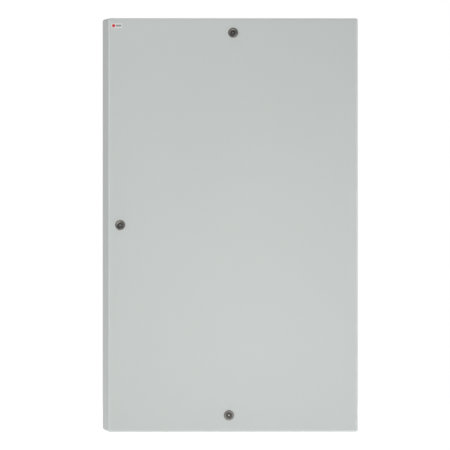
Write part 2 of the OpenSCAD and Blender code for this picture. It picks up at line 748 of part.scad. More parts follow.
// The toggles of a breaker, tied together; they stand up while the breaker is on.
module toggle(x, poles) translate([0, toggle_y, rail_z(1)]) {
    for (i = [0:poles - 1]) {
        translate([x + (i + 0.5) * pole_w - toggle_w / 2, 0, 0]) {
            rotate([0, 90, 0]) cylinder(r = toggle_r, h = toggle_w);
            rotate([-toggle_lean, 0, 0]) translate([0, -17, -2.2]) cube([toggle_w, 17, 4.4]);
        }
    }
    if (poles > 1) rotate([-toggle_lean, 0, 0])
        translate([x + pole_w / 2, -17, -2.2]) cube([(poles - 1) * pole_w, 5, 4.4]);
}

module mains_breaker() color("#e4e6e4") breaker(mains_x, 2);
module battery_breaker() color("#e4e6e4") breaker(battery_breaker_x, 1);
module mains_toggle() color("#2a2c2e") toggle(mains_x, 2);
module battery_toggle() color("#2a2c2e") toggle(battery_breaker_x, 1);

vent_count = 12;
terminal_strip_h = 16;

module power_supply_case() color("#aeb2b4") difference() {
    rail_device(psu_x, rail_z(1), psu_w, psu_h, psu_d - terminal_strip_h,
        psu_h - 2 * terminal_strip_h, psu_d);
    for (i = [0:vent_count - 1])
        translate([psu_x + 18 + i * (psu_w - 40) / (vent_count - 1), plate_y - psu_d - 1, rail_z(1) - 22])
            cube([3, 3, 44]);
}

module power_supply_terminals() color("#3a3d3f") for (s = [-1, 1]) difference() {
    block(psu_x + psu_w / 2, rail_z(1) + s * (psu_h / 2 - terminal_strip_h / 2 + 0.5), psu_w - 24,
        terminal_strip_h - 1.4, plate_y - psu_d + terminal_strip_h, plate_y - psu_d + 3);
    for (i = [0:8]) forward(psu_x + psu_w / 2 + (i - 4) * (psu_w - 38) / 8, plate_y - psu_d + 6,
        rail_z(1) + s * (psu_h / 2 - terminal_strip_h / 2 + 0.5), 2.6, 6);
}

function module_x(i) = module_x0 + i * (module_w + module_gap);

module loop_modules() color("#dfe1de") for (i = [0:module_count - 1]) difference() {
    rail_device(module_x(i), rail_z(2), module_w, module_h, module_d, module_nose_h, module_nose_d);
    translate([module_x(i) + 8, plate_y - module_nose_d - 1, rail_z(2) - 20]) cube([module_w - 16, 1.8, 40]);
}

module loop_module_plugs() color("#3d8a55") for (i = [0:module_count - 1], s = [-1, 1]) difference() {
    block(module_x(i) + module_w / 2, rail_z(2) + s * (module_nose_h / 2 + 1 + plug_h / 2),
        plug_w, plug_h, plate_y - module_d, plate_y - module_d - plug_d);
    for (k = [0:7])
        forward(module_x(i) + module_w / 2 + (k - 3.5) * plug_w / 8, plate_y - module_d - plug_d + 2,
            rail_z(2) + s * (module_nose_h / 2 + 1 + plug_h / 2), 2.4, 4);
}

// A feed-through block's side profile, with sloped shoulders.
function terminal_profile() = [
    [-5, terminal_h / 2 - 3], [-5, 14.2], [-6.3, 14.2], [-6.3, 17.8], [-7.7, 17.8], [-7.7, -17.8],
    [-6.3, -17.8], [-6.3, -14.2], [-5, -14.2], [-5, -terminal_h / 2 + 3], [-12, -terminal_h / 2],
    [-28, -terminal_h / 2], [-terminal_d + 3, -terminal_h / 4], [-terminal_d, -5],
    [-terminal_d, 5], [-terminal_d + 3, terminal_h / 4], [-28, terminal_h / 2], [-12, terminal_h / 2]];

module terminal_blocks() color("#a7abad") for (i = [0:terminal_count - 1])
    translate([0, plate_y, rail_z(0)]) along_x(terminal_x0 + i * terminal_pitch, terminal_pitch - 0.2)
        polygon(terminal_profile());

bar_y = plate_y - 30;
bar_w = 12;
bar_holes = 10;

// Clamps at both ends of the terminals, and the two posts that hold the earth bar.
module rail_supports() color("#8d9193") {
    for (x = [terminal_x0 - clamp_w, terminal_x0 + terminal_count * terminal_pitch + 0.2])
        rail_device(x, rail_z(0), clamp_w - 0.4, terminal_h, 20, 24, 34);
    for (s = [-1, 1])
        rail_device(earth_bar_x + s * (earth_bar_len / 2 - 7) - bar_w / 2, rail_z(0), bar_w, terminal_h, 16, 18, 30);
}

module earth_bar() for (i = [0:bar_holes - 1]) {
    x = earth_bar_x + (i - (bar_holes - 1) / 2) * 9.5;
    if (i == 0) color("#c9a24a") difference() {
        block(earth_bar_x, rail_z(0), earth_bar_len, bar_w, bar_y, bar_y - 6);
        for (k = [0:bar_holes - 1])
            forward(earth_bar_x + (k - (bar_holes - 1) / 2) * 9.5, bar_y + 1, rail_z(0), 2.2, 8);
    }
    color("#b8bcc0") {
        forward(x, bar_y - 6.05, rail_z(0), 3.6, 2.2);
        forward(x, bar_y - 1, rail_z(0), 2.1, 5.5);
    }
}

// ---------------------------------------------------------------- control unit

module unit_button_holes(extra, y, t) for (x = button_names_x)
    block(x, unit_z + button_z, button_side + extra, button_side + extra, y, y - t);

module control_unit_case() color("#d4d7d5") {
    back_y = plate_y - unit_foot;
    for (sx = [-1, 1], sz = [-1, 1])
        forward(sx * (unit_w / 2 - 16), plate_y, unit_z + sz * (unit_h / 2 - 16), 7, unit_foot + 1);
    difference() {
        block(0, unit_z, unit_w, unit_h, back_y, back_y - unit_case_d);
        block(0, unit_z, unit_w - 2 * unit_t, unit_h - 2 * unit_t, back_y - unit_t, back_y - unit_case_d - 1);
    }
    for (sx = [-1, 1], sz = [-1, 1])
        forward(sx * (unit_w / 2 - 22), back_y - 1, unit_z + sz * (unit_h / 2 - 22), 4, 18);
}

board_y = plate_y - unit_foot - 19;

module control_unit_board() color("#2f6b45") {
    block(0, unit_z, unit_w - 20, unit_h - 20, board_y - 0.1, board_y - 1.7);
    for (x = button_names_x) block(x, unit_z + button_z, 8, 8, board_y - 1.7, unit_face_y + unit_t + 5);
    for (i = [0:3]) block(-90 + i * 34, unit_z - 45, 16, 16, board_y - 1.7, board_y - 4);
}

module control_unit_cover() color("#dfe1df") {
    difference() {
        block(0, unit_z, unit_w, unit_h, unit_face_y + unit_cover_d, unit_face_y);
        block(0, unit_z, unit_w - 2 * unit_t, unit_h - 2 * unit_t, unit_face_y + unit_cover_d + 1,
            unit_face_y + unit_t);
        block(display_x, unit_z + display_z, display_w, display_h, unit_face_y + unit_t + 1, unit_face_y - 1);
        unit_button_holes(0.6, unit_face_y + unit_t + 1, unit_t + 2);
        for (p = lamp_places) forward(p[0], unit_face_y + unit_t + 1, unit_z + p[1], lamp_r + 0.1, unit_t + 2);
    }
}

// The display: a glass window seated in the cover, with its panel behind.
module display_module() color("#23303a") {
    block(display_x, unit_z + display_z, display_w - 0.4, display_h - 0.4, unit_face_y + unit_t, unit_face_y + 0.8);
    block(display_x, unit_z + display_z, display_w + 12, display_h + 12, unit_face_y + unit_t + 9.9,
        unit_face_y + unit_t + 0.05);
}

module indicator_lamps() color("#cc3333") for (p = lamp_places) {
    forward(p[0], unit_face_y + unit_t + 4, unit_z + p[1], lamp_r, unit_t + 4);
    translate([p[0], unit_face_y, unit_z + p[1]]) sphere(lamp_r * 0.98);
}

// A push button: a square cap with a wider skirt behind the cover.
module push_button(i) {
    block(button_names_x[i], unit_z + button_z, button_side, button_side, unit_face_y + unit_t + 1, unit_face_y - 3);
    block(button_names_x[i], unit_z + button_z, button_side + 3, button_side + 3,
        unit_face_y + unit_t + 2.2, unit_face_y + unit_t + 0.2);
}

module button_silence() color("#d9b32c") push_button(0);
module button_reset() color("#4d5254") push_button(1);
module button_test() color("#4d5254") push_button(2);

// ---------------------------------------------------------------- batteries

module battery_shelf() color("#c9cbc8") {
    depth = battery_d + 6;
    translate([-shelf_w / 2, plate_y - depth - shelf_t, shelf_z]) cube([shelf_w, depth + shelf_t, shelf_t]);
    translate([-shelf_w / 2, plate_y - depth - shelf_t, shelf_z]) cube([shelf_w, shelf_t, 16]);
    difference() {
        translate([-shelf_w / 2, plate_y - shelf_t, shelf_z - shelf_flange_h])
            cube([shelf_w, shelf_t, shelf_flange_h + shelf_t]);
        for (p = shelf_screw_places) forward(p[0], plate_y + 1, p[1], screw_r + 0.1, 5);
    }
    for (s = [-1, 0, 1]) translate([s * (shelf_w / 2 - 1) - 1, plate_y, shelf_z]) rotate([90, 0, 90])
        linear_extrude(2) polygon([[0, 0], [-depth * 0.8, 0], [0, -shelf_flange_h]]);
}

module battery_cases() color("#3b3e40") for (s = [-1, 1]) {
    difference() {
        block(s * battery_x, battery_z + battery_h / 2, battery_w, battery_h, battery_back_y, battery_back_y - battery_d);
        for (k = [-1, 1]) translate([s * battery_x + k * post_x, post_y, battery_z + battery_h - 4])
            cylinder(r = 13, h = 6);
    }
}

module battery_posts() color("#b9a06a") for (s = [-1, 1], k = [-1, 1])
    translate([s * battery_x + k * post_x, post_y, battery_z + battery_h - 4]) {
        cylinder(r = post_r, h = post_h);
        cylinder(r = 3, h = post_h + 6);
    }

bracket_strip_t = 2;
bracket_strip_w = 20;

// A flat strip bent around both batteries and screwed to the plate.
module battery_bracket() color("#c9cbc8") {
    front_y = battery_back_y - battery_d - 0.5;
    z = foot_screw_places[0][1];
    side_x = shelf_w / 2 + 0.5;
    block(0, z, 2 * side_x + 2 * bracket_strip_t, bracket_strip_w, front_y, front_y - bracket_strip_t);
    for (s = [-1, 1]) {
        block(s * (side_x + bracket_strip_t / 2), z, bracket_strip_t, bracket_strip_w, plate_y, front_y - bracket_strip_t);
        difference() {
            block(s * (side_x + 14), z, 28, bracket_strip_w, plate_y, plate_y - bracket_strip_t);
            forward(s * (shelf_w / 2 + 16), plate_y + 1, z, screw_r + 0.1, 6);
        }
    }
}

post_top = battery_z + battery_h + 11;
lead_r = 2.4;
duct_mouth_x = -side_duct_x;

// Each outer lead: its post, its height over the batteries and its place in the side duct.
lead_runs = [[-battery_x - post_x, 4, -7], [battery_x + post_x, 10, 7]];

module battery_leads() color("#b3261e") {
    for (run = lead_runs)
        wire([[run[0], post_y, post_top + 0.1], [run[0], post_y, post_top + run[1]],
            [duct_mouth_x + run[2], plate_y - 24, post_top + run[1]],
            [duct_mouth_x + run[2], plate_y - 24, rows_z + 24]], lead_r);
    wire([[-battery_x + post_x, post_y, post_top + 0.1], [-battery_x + post_x, post_y, post_top + 7],
        [battery_x - post_x, post_y, post_top + 7], [battery_x - post_x, post_y, post_top + 0.1]], lead_r);
}

wire_r = 1.1;

// Short tails between the terminals and the ducts over them.
module device_wires() color("#2c5aa0") {
    terminal_end = duct_z(0) - duct_w / 2 - clear;
    for (i = [0:terminal_count - 1])
        translate([terminal_x0 + (i + 0.5) * terminal_pitch - 0.1, plate_y - 20, rail_z(0) + terminal_h / 2 + 0.1])
            cylinder(r = wire_r, h = terminal_end - rail_z(0) - terminal_h / 2 - 0.1, $fn = 16);
    plug_top = rail_z(2) + module_nose_h / 2 + 1 + plug_h + 0.1;
    for (i = [0:module_count - 1], k = [0:7])
        translate([module_x(i) + module_w / 2 + (k - 3.5) * plug_w / 8, plate_y - module_d - 6, plug_top])
            cylinder(r = wire_r, h = duct_z(2) - duct_w / 2 - clear - plug_top, $fn = 16);
    for (x = [mains_x + pole_w / 2, mains_x + 1.5 * pole_w, battery_breaker_x + pole_w / 2])
        translate([x, plate_y - 30, rail_z(1) + breaker_h / 2 + 0.1])
            cylinder(r = 1.5, h = duct_z(1) - duct_w / 2 - clear - rail_z(1) - breaker_h / 2 - 0.1, $fn = 16);
}

// ---------------------------------------------------------------- earthing and door contact

module threaded_stud(len) {
    cylinder(r = stud_thread_r, h = len);
    cylinder(r = 2 * stud_thread_r, h = 3.5, $fn = 6);
}

module earth_stud() color("#c9a24a") translate([cab_w / 2 - body_t, body_stud_y, strap_z])
    rotate([0, -90, 0]) threaded_stud(16);

module door_stud() color("#c9a24a") translate([door_stud_x, door_inner_y, strap_z])
    rotate([-90, 0, 0]) threaded_stud(11);

module earth_strap() color("#c7b23a") swept_tube(strap_points, strap_r);

contact_z = cab_h / 2 - 120;

// The contact sits on the fold of the body, and its magnet stands on the door before it.
module contact_switch() color("#e6e8e6") {
    translate([open_x - open_w / 2, flange_y + 1, contact_z - 25]) cube([13, 14, 50]);
}

module contact_magnet() color("#e6e8e6") {
    x = open_x - open_w / 2 + 1;
    translate([x, door_inner_y, contact_z - 25]) cube([13, 3, 50]);
    translate([x, door_inner_y, contact_z - 16]) cube([11, flange_y - 1.5 - door_inner_y, 32]);
}

// ---------------------------------------------------------------- drawing

body_shell();
rear_panel();
gland_plate();
gland_plate_gasket();
cable_grommets();
plate_studs();
plate_fixings();
mounting_plate();
panel_screws();
hinge_brackets();
hinge_pins();
din_rails();
wiring_ducts();
duct_covers();
mains_breaker();
battery_breaker();
power_supply_case();
power_supply_terminals();
loop_modules();
loop_module_plugs();
terminal_blocks();
rail_supports();
earth_bar();
control_unit_case();
control_unit_cover();
control_unit_board();
display_module();
indicator_lamps();
battery_shelf();
battery_cases();
battery_posts();
battery_bracket();
battery_leads();
device_wires();
earth_stud();
contact_switch();
door_panel();
door_channels();
door_gasket();
door_stiffeners();
hinge_leaves();
document_pocket();
lock_housings();
lock_nuts();
lock_seals();
name_label();
contact_magnet();
door_stud();
earth_strap();
lock_core(side_lock);  // lock_core_side
lock_core(top_lock);  // lock_core_top
lock_core(bottom_lock);  // lock_core_bottom
lock_cam(side_lock, side_lock_inset - flange_w + cam_grip, 90);  // lock_cam_side
lock_cam(top_lock, top_lock_inset - flange_w + cam_grip, 180);  // lock_cam_top
lock_cam(bottom_lock, bottom_lock_inset - flange_w + cam_grip, 0);  // lock_cam_bottom
mains_toggle();
battery_toggle();
button_silence();
button_reset();
button_test();
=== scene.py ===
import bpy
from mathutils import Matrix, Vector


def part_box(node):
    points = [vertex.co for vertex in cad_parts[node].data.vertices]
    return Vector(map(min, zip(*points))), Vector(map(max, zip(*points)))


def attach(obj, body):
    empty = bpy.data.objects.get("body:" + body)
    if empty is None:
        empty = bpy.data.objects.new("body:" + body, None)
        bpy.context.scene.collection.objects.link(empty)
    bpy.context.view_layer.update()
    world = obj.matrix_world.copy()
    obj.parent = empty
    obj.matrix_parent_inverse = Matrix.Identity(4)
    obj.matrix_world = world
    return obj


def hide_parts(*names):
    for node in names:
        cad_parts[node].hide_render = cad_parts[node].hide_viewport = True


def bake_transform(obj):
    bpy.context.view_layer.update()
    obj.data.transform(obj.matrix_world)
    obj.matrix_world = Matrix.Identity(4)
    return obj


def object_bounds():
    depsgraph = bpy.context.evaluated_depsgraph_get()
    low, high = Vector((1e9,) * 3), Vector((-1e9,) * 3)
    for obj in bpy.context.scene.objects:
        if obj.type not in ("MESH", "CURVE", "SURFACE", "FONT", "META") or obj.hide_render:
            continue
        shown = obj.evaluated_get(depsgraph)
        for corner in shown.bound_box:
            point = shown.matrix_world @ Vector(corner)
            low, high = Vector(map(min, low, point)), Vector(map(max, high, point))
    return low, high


bl_info = {
    "name": "Fire alarm wall cabinet",
    "version": (1, 0, 0),
    "blender": (4, 5, 0),
    "location": "View3D > Sidebar > Cabinet",
    "description": "Locks, seals, wiring, fasteners, finishes and studio for a wall cabinet",
    "category": "Add Mesh",
}

from math import cos, pi, radians, sin

import bmesh
import bpy
import numpy as np
from bpy.props import FloatProperty, FloatVectorProperty, IntProperty, PointerProperty
from mathutils import Vector

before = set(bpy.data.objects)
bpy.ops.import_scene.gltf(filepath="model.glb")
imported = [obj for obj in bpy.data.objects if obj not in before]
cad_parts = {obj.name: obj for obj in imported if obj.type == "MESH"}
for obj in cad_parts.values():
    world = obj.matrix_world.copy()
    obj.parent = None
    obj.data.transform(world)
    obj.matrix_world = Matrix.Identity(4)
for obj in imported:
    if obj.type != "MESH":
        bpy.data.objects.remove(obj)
CAD_BOX = [list(corner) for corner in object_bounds()]
MM = 0.001
MICRONS = 1e6
SLOPE = 0.5**0.5
# corners nearer than this are one, and edges shorter than this are none, in metres
MERGED, DEGENERATE = 2e-6, 1e-7
# tints of printed matter and of lamps that are on
PAPER, INK, GREEN = (0.72, 0.72, 0.70), (0.05, 0.05, 0.055), (0.05, 0.42, 0.09)

# u, v and outward n of a face that looks along each direction
FACING = {
    "-Y": ((1, 0, 0), (0, 0, 1), (0, -1, 0)),
    "+Y": ((1, 0, 0), (0, 0, -1), (0, 1, 0)),
    "-Z": ((1, 0, 0), (0, -1, 0), (0, 0, -1)),
    "+Z": ((1, 0, 0), (0, 1, 0), (0, 0, 1)),
    "-X": ((0, 1, 0), (0, 0, 1), (-1, 0, 0)),
    "+X": ((0, 1, 0), (0, 0, 1), (1, 0, 0)),
    "UP": ((1, 0, 0), (0, SLOPE, SLOPE), (0, -SLOPE, SLOPE)),
    "DOWN": ((1, 0, 0), (0, -SLOPE, SLOPE), (0, -SLOPE, -SLOPE)),
}


# ---------------------------------------------------------------- shapes


def facing(direction):
    """The three unit vectors of a face: across, up and outwards."""
    return (np.array(v, float) for v in FACING[direction])


def linked(name, data):
    """A new object in the scene that shows the data."""
    thing = bpy.data.objects.new(name, data)
    bpy.context.scene.collection.objects.link(thing)
    return thing


def box_of(node):
    """A CAD node's lowest and highest corners as one array."""
    return np.array([list(c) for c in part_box(node)])


def solids(node):
    """Boxes of a CAD node's separate solids, from left to right and from the bottom up.

    Corners at one place get one number. Each triangle hands its lowest number to its
    corners until nothing changes, and corners with one number belong to one solid.
    """
    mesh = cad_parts[node].data
    spots = np.empty(len(mesh.vertices) * 3, np.float32)
    mesh.vertices.foreach_get("co", spots)
    corners = np.empty(len(mesh.loops), np.int64)
    mesh.loops.foreach_get("vertex_index", corners)
    keys = np.round(spots.reshape(-1, 3).astype(float) * MICRONS).astype(np.int64)
    places, number = np.unique(keys, axis=0, return_inverse=True)
    triangles = number.ravel()[corners.reshape(-1, 3)]
    label = np.arange(len(places))
    while True:
        lowest = np.repeat(label[triangles].min(axis=1), 3)
        spread = label.copy()
        np.minimum.at(spread, triangles.ravel(), lowest)
        spread = spread[spread]
        if (spread == label).all():
            break
        label = spread
    boxes = [
        [places[label == i].min(axis=0), places[label == i].max(axis=0)]
        for i in np.unique(label)
    ]
    boxes = np.array(sorted(boxes, key=lambda b: (round(b[0][0], -3), round(b[0][2], -3))))
    return boxes.astype(float) / MICRONS


class Shape:
    """Collects grids of points and joins them into one closed mesh."""

    def __init__(self):
        self.points, self.faces, self.tints, self.count = [], [], [], 0

    def grid(self, points, wrap_u=False, wrap_v=False, tint=(1, 1, 1)):
        """Quads between neighbours of a (..., U, V, 3) grid, closed round U or V if asked."""
        rows, columns = points.shape[-3:-1]
        points = points.reshape(-1, rows, columns, 3)
        u, v = np.meshgrid(
            np.arange(rows if wrap_u else rows - 1),
            np.arange(columns if wrap_v else columns - 1),
            indexing="ij",
        )
        u, v = u.ravel(), v.ravel()
        u1, v1 = (u + 1) % rows, (v + 1) % columns
        quads = np.stack(
            [u * columns + v, u1 * columns + v, u1 * columns + v1, u * columns + v1], 1
        )
        shift = np.arange(len(points))[:, None, None] * rows * columns + self.count
        self.faces.append((quads[None] + shift).reshape(-1, 4))
        self.points.append(points.reshape(-1, 3))
        total = len(self.points[-1])
        self.tints.append(np.broadcast_to(np.array([*tint, 1.0]), (total, 4)))
        self.count += total
        return self

    def form(self, points, tint=(1, 1, 1)):
        """A form round an axis that it meets at both ends."""
        return self.grid(points, wrap_u=True, tint=tint)

    def ring(self, points, tint=(1, 1, 1)):
        """A closed section round an axis that it never meets."""
        return self.grid(points, wrap_u=True, wrap_v=True, tint=tint)

    def tube(self, points, tint=(1, 1, 1)):
        """A closed section along a path, drawn together at both ends."""
        return self.grid(points, wrap_v=True, tint=tint)

    def piece(self, name, body, slot, finish, sharp=38, replaces=(), ride=True):
        """Makes the mesh object: doubles merged, faces outwards, edges sharp past an angle."""
        mesh = bpy.data.meshes.new(name)
        points, faces = np.concatenate(self.points), np.concatenate(self.faces)
        mesh.vertices.add(len(points))
        mesh.vertices.foreach_set("co", points.astype(np.float32).ravel())
        mesh.loops.add(faces.size)
        mesh.loops.foreach_set("vertex_index", faces.ravel().astype(np.int32))
        mesh.polygons.add(len(faces))
        mesh.polygons.foreach_set("loop_start", np.arange(0, faces.size, 4, dtype=np.int32))
        mesh.update(calc_edges=True)
        tint = mesh.attributes.new("tint", "FLOAT_COLOR", "POINT")
        tint.data.foreach_set("color", np.concatenate(self.tints).astype(np.float32).ravel())
        work = bmesh.new()
        work.from_mesh(mesh)
        bmesh.ops.remove_doubles(work, verts=work.verts, dist=MERGED)
        bmesh.ops.dissolve_degenerate(work, dist=DEGENERATE, edges=work.edges)
        bmesh.ops.recalc_face_normals(work, faces=work.faces)
        work.to_mesh(mesh)
        work.free()
        mesh.shade_smooth()
        mesh.set_sharp_from_angle(angle=radians(sharp))
        mesh.materials.append(finish)
        thing = linked(name, mesh)
        if ride:
            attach(thing, body)
        if replaces:
            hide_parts(*replaces)
        return thing


def turned(profile, at, direction="-Y", steps=40):
    """A profile turned round an axis.

    For each angle a and each (radius, height): at + radius (cos a across + sin a up)
    + height outwards. Profile in millimetres, places in metres.
    """
    across, up, out = facing(direction)
    radius, height = np.array(profile, float).T * MM
    a = np.linspace(0, 2 * pi, steps, endpoint=False)
    ring = np.cos(a)[:, None] * across + np.sin(a)[:, None] * up
    form = radius[None, :, None] * ring[:, None, :] + height[None, :, None] * out
    return form[None] + np.reshape(at, (-1, 1, 1, 3))


def pan_heads(at, direction, radius, height, drive="cross", steps=40):
    """Screw heads as a height over the disc.

    Height falls from the middle with the fourth power of r / radius, by 0.45 of itself
    at the rim; a cross or a slot is cut where the distance to its arms is under half
    its width. All in millimetres, places in metres.
    """
    across, up, out = facing(direction)
    r = radius * np.r_[0, np.linspace(0.06, 0.8, 13), 0.88, 0.95, 1.0, 1.0, 0.0]
    a = np.linspace(0, 2 * pi, steps, endpoint=False)
    x, y = np.outer(np.cos(a), r), np.outer(np.sin(a), r)
    h = np.broadcast_to(height * (1 - 0.45 * (r / radius) ** 4), x.shape).copy()
    if drive == "cross":
        near, far, half, reach = *np.sort(np.abs([x, y]), axis=0), 0.15, 0.58
    else:
        near, far, half, reach = np.abs(y), np.abs(x), 0.13, 1.2
    cut = np.clip((half * radius - near) / (0.06 * radius), 0, 1)
    cut = cut * np.clip((reach * radius - far) / (0.12 * radius), 0, 1)
    h = h - cut * height * 0.6
    h[:, -2:] = 0
    form = x[..., None] * across + y[..., None] * up + h[..., None] * out
    return form[None] * MM + np.reshape(at, (-1, 1, 1, 3))


def hex_nuts(at, direction, across_flats, height, bore, steps=48):
    """Nut rings: the outer radius is half the width over flats divided by the cosine of
    the angle from the flat's middle, and at both faces no more than the chamfer's circle.
    """
    across, up, out = facing(direction)
    a = np.linspace(0, 2 * pi, steps, endpoint=False)
    half = across_flats / 2
    full = half / np.cos((a + pi / 6) % (pi / 3) - pi / 6)
    edge = np.minimum(full, half * 0.97)
    side = np.minimum(full, half * 1.1)
    hole = np.full(steps, bore)
    radius = np.stack([hole, edge, side, full, full, side, edge, hole], 1)
    level = height * np.array([0, 0, 0.06, 0.12, 0.88, 0.94, 1, 1])
    ring = np.cos(a)[:, None] * across + np.sin(a)[:, None] * up
    form = radius[..., None] * ring[:, None] + level[None, :, None] * out
    return form[None] * MM + np.reshape(at, (-1, 1, 1, 3))


def outline(width, height, corner, arc=5):
    """A rounded rectangle round the origin: four quarter circles about corner centres."""
    corner = max(min(corner, width / 2, height / 2), 0)
    a = np.linspace(0, pi / 2, arc)
    quarter = np.stack([np.cos(a), np.sin(a)], 1) * corner
    centre = np.array([width / 2 - corner, height / 2 - corner])
    sides = []
    for sx, sy in ((1, 1), (-1, 1), (-1, -1), (1, -1)):
        part = quarter if sx * sy > 0 else quarter[::-1]
        sides.append((part + centre) * (sx, sy))
    return np.concatenate(sides)


def lofted(levels, at, direction="-Y", arc=5):
    """Rounded rectangles (width, height, corner, level) stacked outwards, ends closed.

    Each level is an outline moved outwards by its level; the first and the last are
    drawn together into their middle. Millimetres, places in metres.
    """
    across, up, out = facing(direction)
    first, last = levels[0], levels[-1]
    levels = [(0, 0, 0, first[3]), *levels, (0, 0, 0, last[3])]
    rings = np.stack([outline(w, h, c, arc) for w, h, c, _ in levels], 1)
    level = np.array([l[3] for l in levels])
    form = rings[..., :1] * across + rings[..., 1:] * up + level[None, :, None] * out
    return form[None] * MM + np.reshape(at, (-1, 1, 1, 3))


def framed(width, height, corner, section, at, direction="-Y", arc=7):
    """A closed section (outwards from the outline, level) carried round a rounded
    rectangle: each of its points follows the outline grown by its first number.
    Millimetres, places in metres."""
    across, up, out = facing(direction)
    rings = np.stack([outline(width + 2 * s, height + 2 * s, corner + s, arc)
                      for s, _ in section], 1)
    level = np.array([l for _, l in section])
    form = rings[..., :1] * across + rings[..., 1:] * up + level[None, :, None] * out
    return form[None] * MM + np.reshape(at, (-1, 1, 1, 3))


def even(points, count):
    """Points at even distances along a line through the given ones."""
    p = np.asarray(points, float)
    run = np.r_[0, np.cumsum(np.linalg.norm(np.diff(p, axis=0), axis=1))]
    t = np.linspace(0, run[-1], count)
    return np.stack([np.interp(t, run, p[:, i]) for i in range(3)], 1)


def slab(size, corner, edge, at, direction="-Y", arc=5):
    """A block of (width, height, depth) on its back face. Its front edge is rounded by
    three outlines, each drawn in and lifted by its share of the edge's radius."""
    w, h, d = size
    levels = [(w, h, corner, 0)]
    for inset, lift in ((0.0, 0.0), (0.29, 0.71), (1.0, 1.0)):
        inset, lift = inset * edge, lift * edge
        levels.append((w - 2 * inset, h - 2 * inset, max(corner - inset, 0.05),
                       d - edge + lift))
    return lofted(levels, at, direction, arc)


def smooth_path(points, times=3):
    """Corner cutting: each span gives the points a quarter and three quarters along it."""
    p = np.asarray(points, float)
    for _ in range(times):
        inner = np.stack([0.75 * p[..., :-1, :] + 0.25 * p[..., 1:, :],
                          0.25 * p[..., :-1, :] + 0.75 * p[..., 1:, :]], axis=-2)
        inner = inner.reshape(*p.shape[:-2], -1, 3)
        p = np.concatenate([p[..., :1, :], inner, p[..., -1:, :]], axis=-2)
    return p


def swept(path, section, reference=(0.2, 0.1, 1.0)):
    """A section carried along paths (..., K, 3).

    The frame at each point is the path's direction, its cross product with the
    reference, and the cross product of those two. The section is (S, 2) or (K, S, 2)
    in metres; its ends are drawn together to close the tube.
    """
    path = np.asarray(path, float)
    along = np.gradient(path, axis=-2)
    along /= np.linalg.norm(along, axis=-1, keepdims=True)
    side = np.cross(along, np.array(reference, float))
    side /= np.linalg.norm(side, axis=-1, keepdims=True)
    up = np.cross(side, along)
    if section.ndim == 2:
        section = np.broadcast_to(section, (path.shape[-2], *section.shape))
    form = (
        path[..., :, None, :]
        + section[..., :1] * side[..., :, None, :]
        + section[..., 1:] * up[..., :, None, :]
    )
    ends = np.broadcast_to(path[..., :, None, :], form.shape)
    return np.concatenate([ends[..., :1, :, :], form, ends[..., -1:, :, :]], axis=-3)


def ring_section(radius, steps=10):
    """A circle's points."""
    a = np.linspace(0, 2 * pi, steps, endpoint=False)
    return np.stack([np.cos(a), np.sin(a)], 1) * radius


# ---------------------------------------------------------------- finishes


class Link:
    """A node's output in a sum: every operator adds one Math node."""

    def __init__(self, nodes, socket):
        self.nodes, self.socket = nodes, socket

    def maths(self, operation, *values):
        """A Math node on these values."""
        inputs = dict(enumerate(values))
        return self.nodes.add("ShaderNodeMath", {"operation": operation}, inputs)

    def __add__(self, other):
        return self.maths("ADD", self, other)

    def __sub__(self, other):
        return self.maths("SUBTRACT", self, other)

    def __mul__(self, other):
        return self.maths("MULTIPLY", self, other)

    def __radd__(self, other):
        return self.maths("ADD", other, self)

    def __rsub__(self, other):
        return self.maths("SUBTRACT", other, self)

    def __rmul__(self, other):
        return self.maths("MULTIPLY", other, self)

    def __gt__(self, other):
        return self.maths("GREATER_THAN", self, other)

    def __lt__(self, other):
        return self.maths("LESS_THAN", self, other)

    def __abs__(self):
        return self.maths("ABSOLUTE", self)

    def wave(self):
        """The sine."""
        return self.maths("SINE", self)

    def clipped(self):
        """Kept between 0 and 1."""
        return self.nodes.add("ShaderNodeClamp", {}, {"Value": self})


class Nodes:
    """A node tree and the coordinates that its patterns read."""

    def __init__(self, tree, coordinates):
        self.tree = tree
        tree.nodes.clear()
        self.place = self.add("ShaderNodeTexCoord", {}, {}, coordinates)

    def add(self, kind, settings, inputs, output=0):
        """Any node: its settings are set first, then its inputs take values or links."""
        node = self.tree.nodes.new(kind)
        for key, value in settings.items():
            if key == "stops":
                self.stops(node.color_ramp, value)
            else:
                setattr(node, key, value)
        for key, value in inputs.items():
            if isinstance(value, Link):
                self.tree.links.new(value.socket, node.inputs[key])
            else:
                node.inputs[key].default_value = value
        return Link(self, node.outputs[output])

    @staticmethod
    def stops(ramp, stops):
        """A ramp's positions and colours; it comes with two stops."""
        for i, (position, colour) in enumerate(stops):
            stop = ramp.elements[i] if i < 2 else ramp.elements.new(position)
            stop.position, stop.color = position, (*colour, 1.0)

    def close(self, kind, link):
        """The output node, fed by a shader."""
        self.tree.links.new(link.socket, self.tree.nodes.new(kind).inputs[0])

    def axes(self, place=None):
        """The x, y and z of a place."""
        first = self.add("ShaderNodeSeparateXYZ", {}, {"Vector": place or self.place})
        node = first.socket.node
        return [Link(self, node.outputs[i]) for i in range(3)]

    def spread(self, value, low, high, stops=(0.3, 0.7)):
        """A pattern's range between the stops, carried to the range low..high."""
        inputs = {"Value": value, "From Min": stops[0], "From Max": stops[1],
                  "To Min": low, "To Max": high}
        return self.add("ShaderNodeMapRange", {}, inputs)


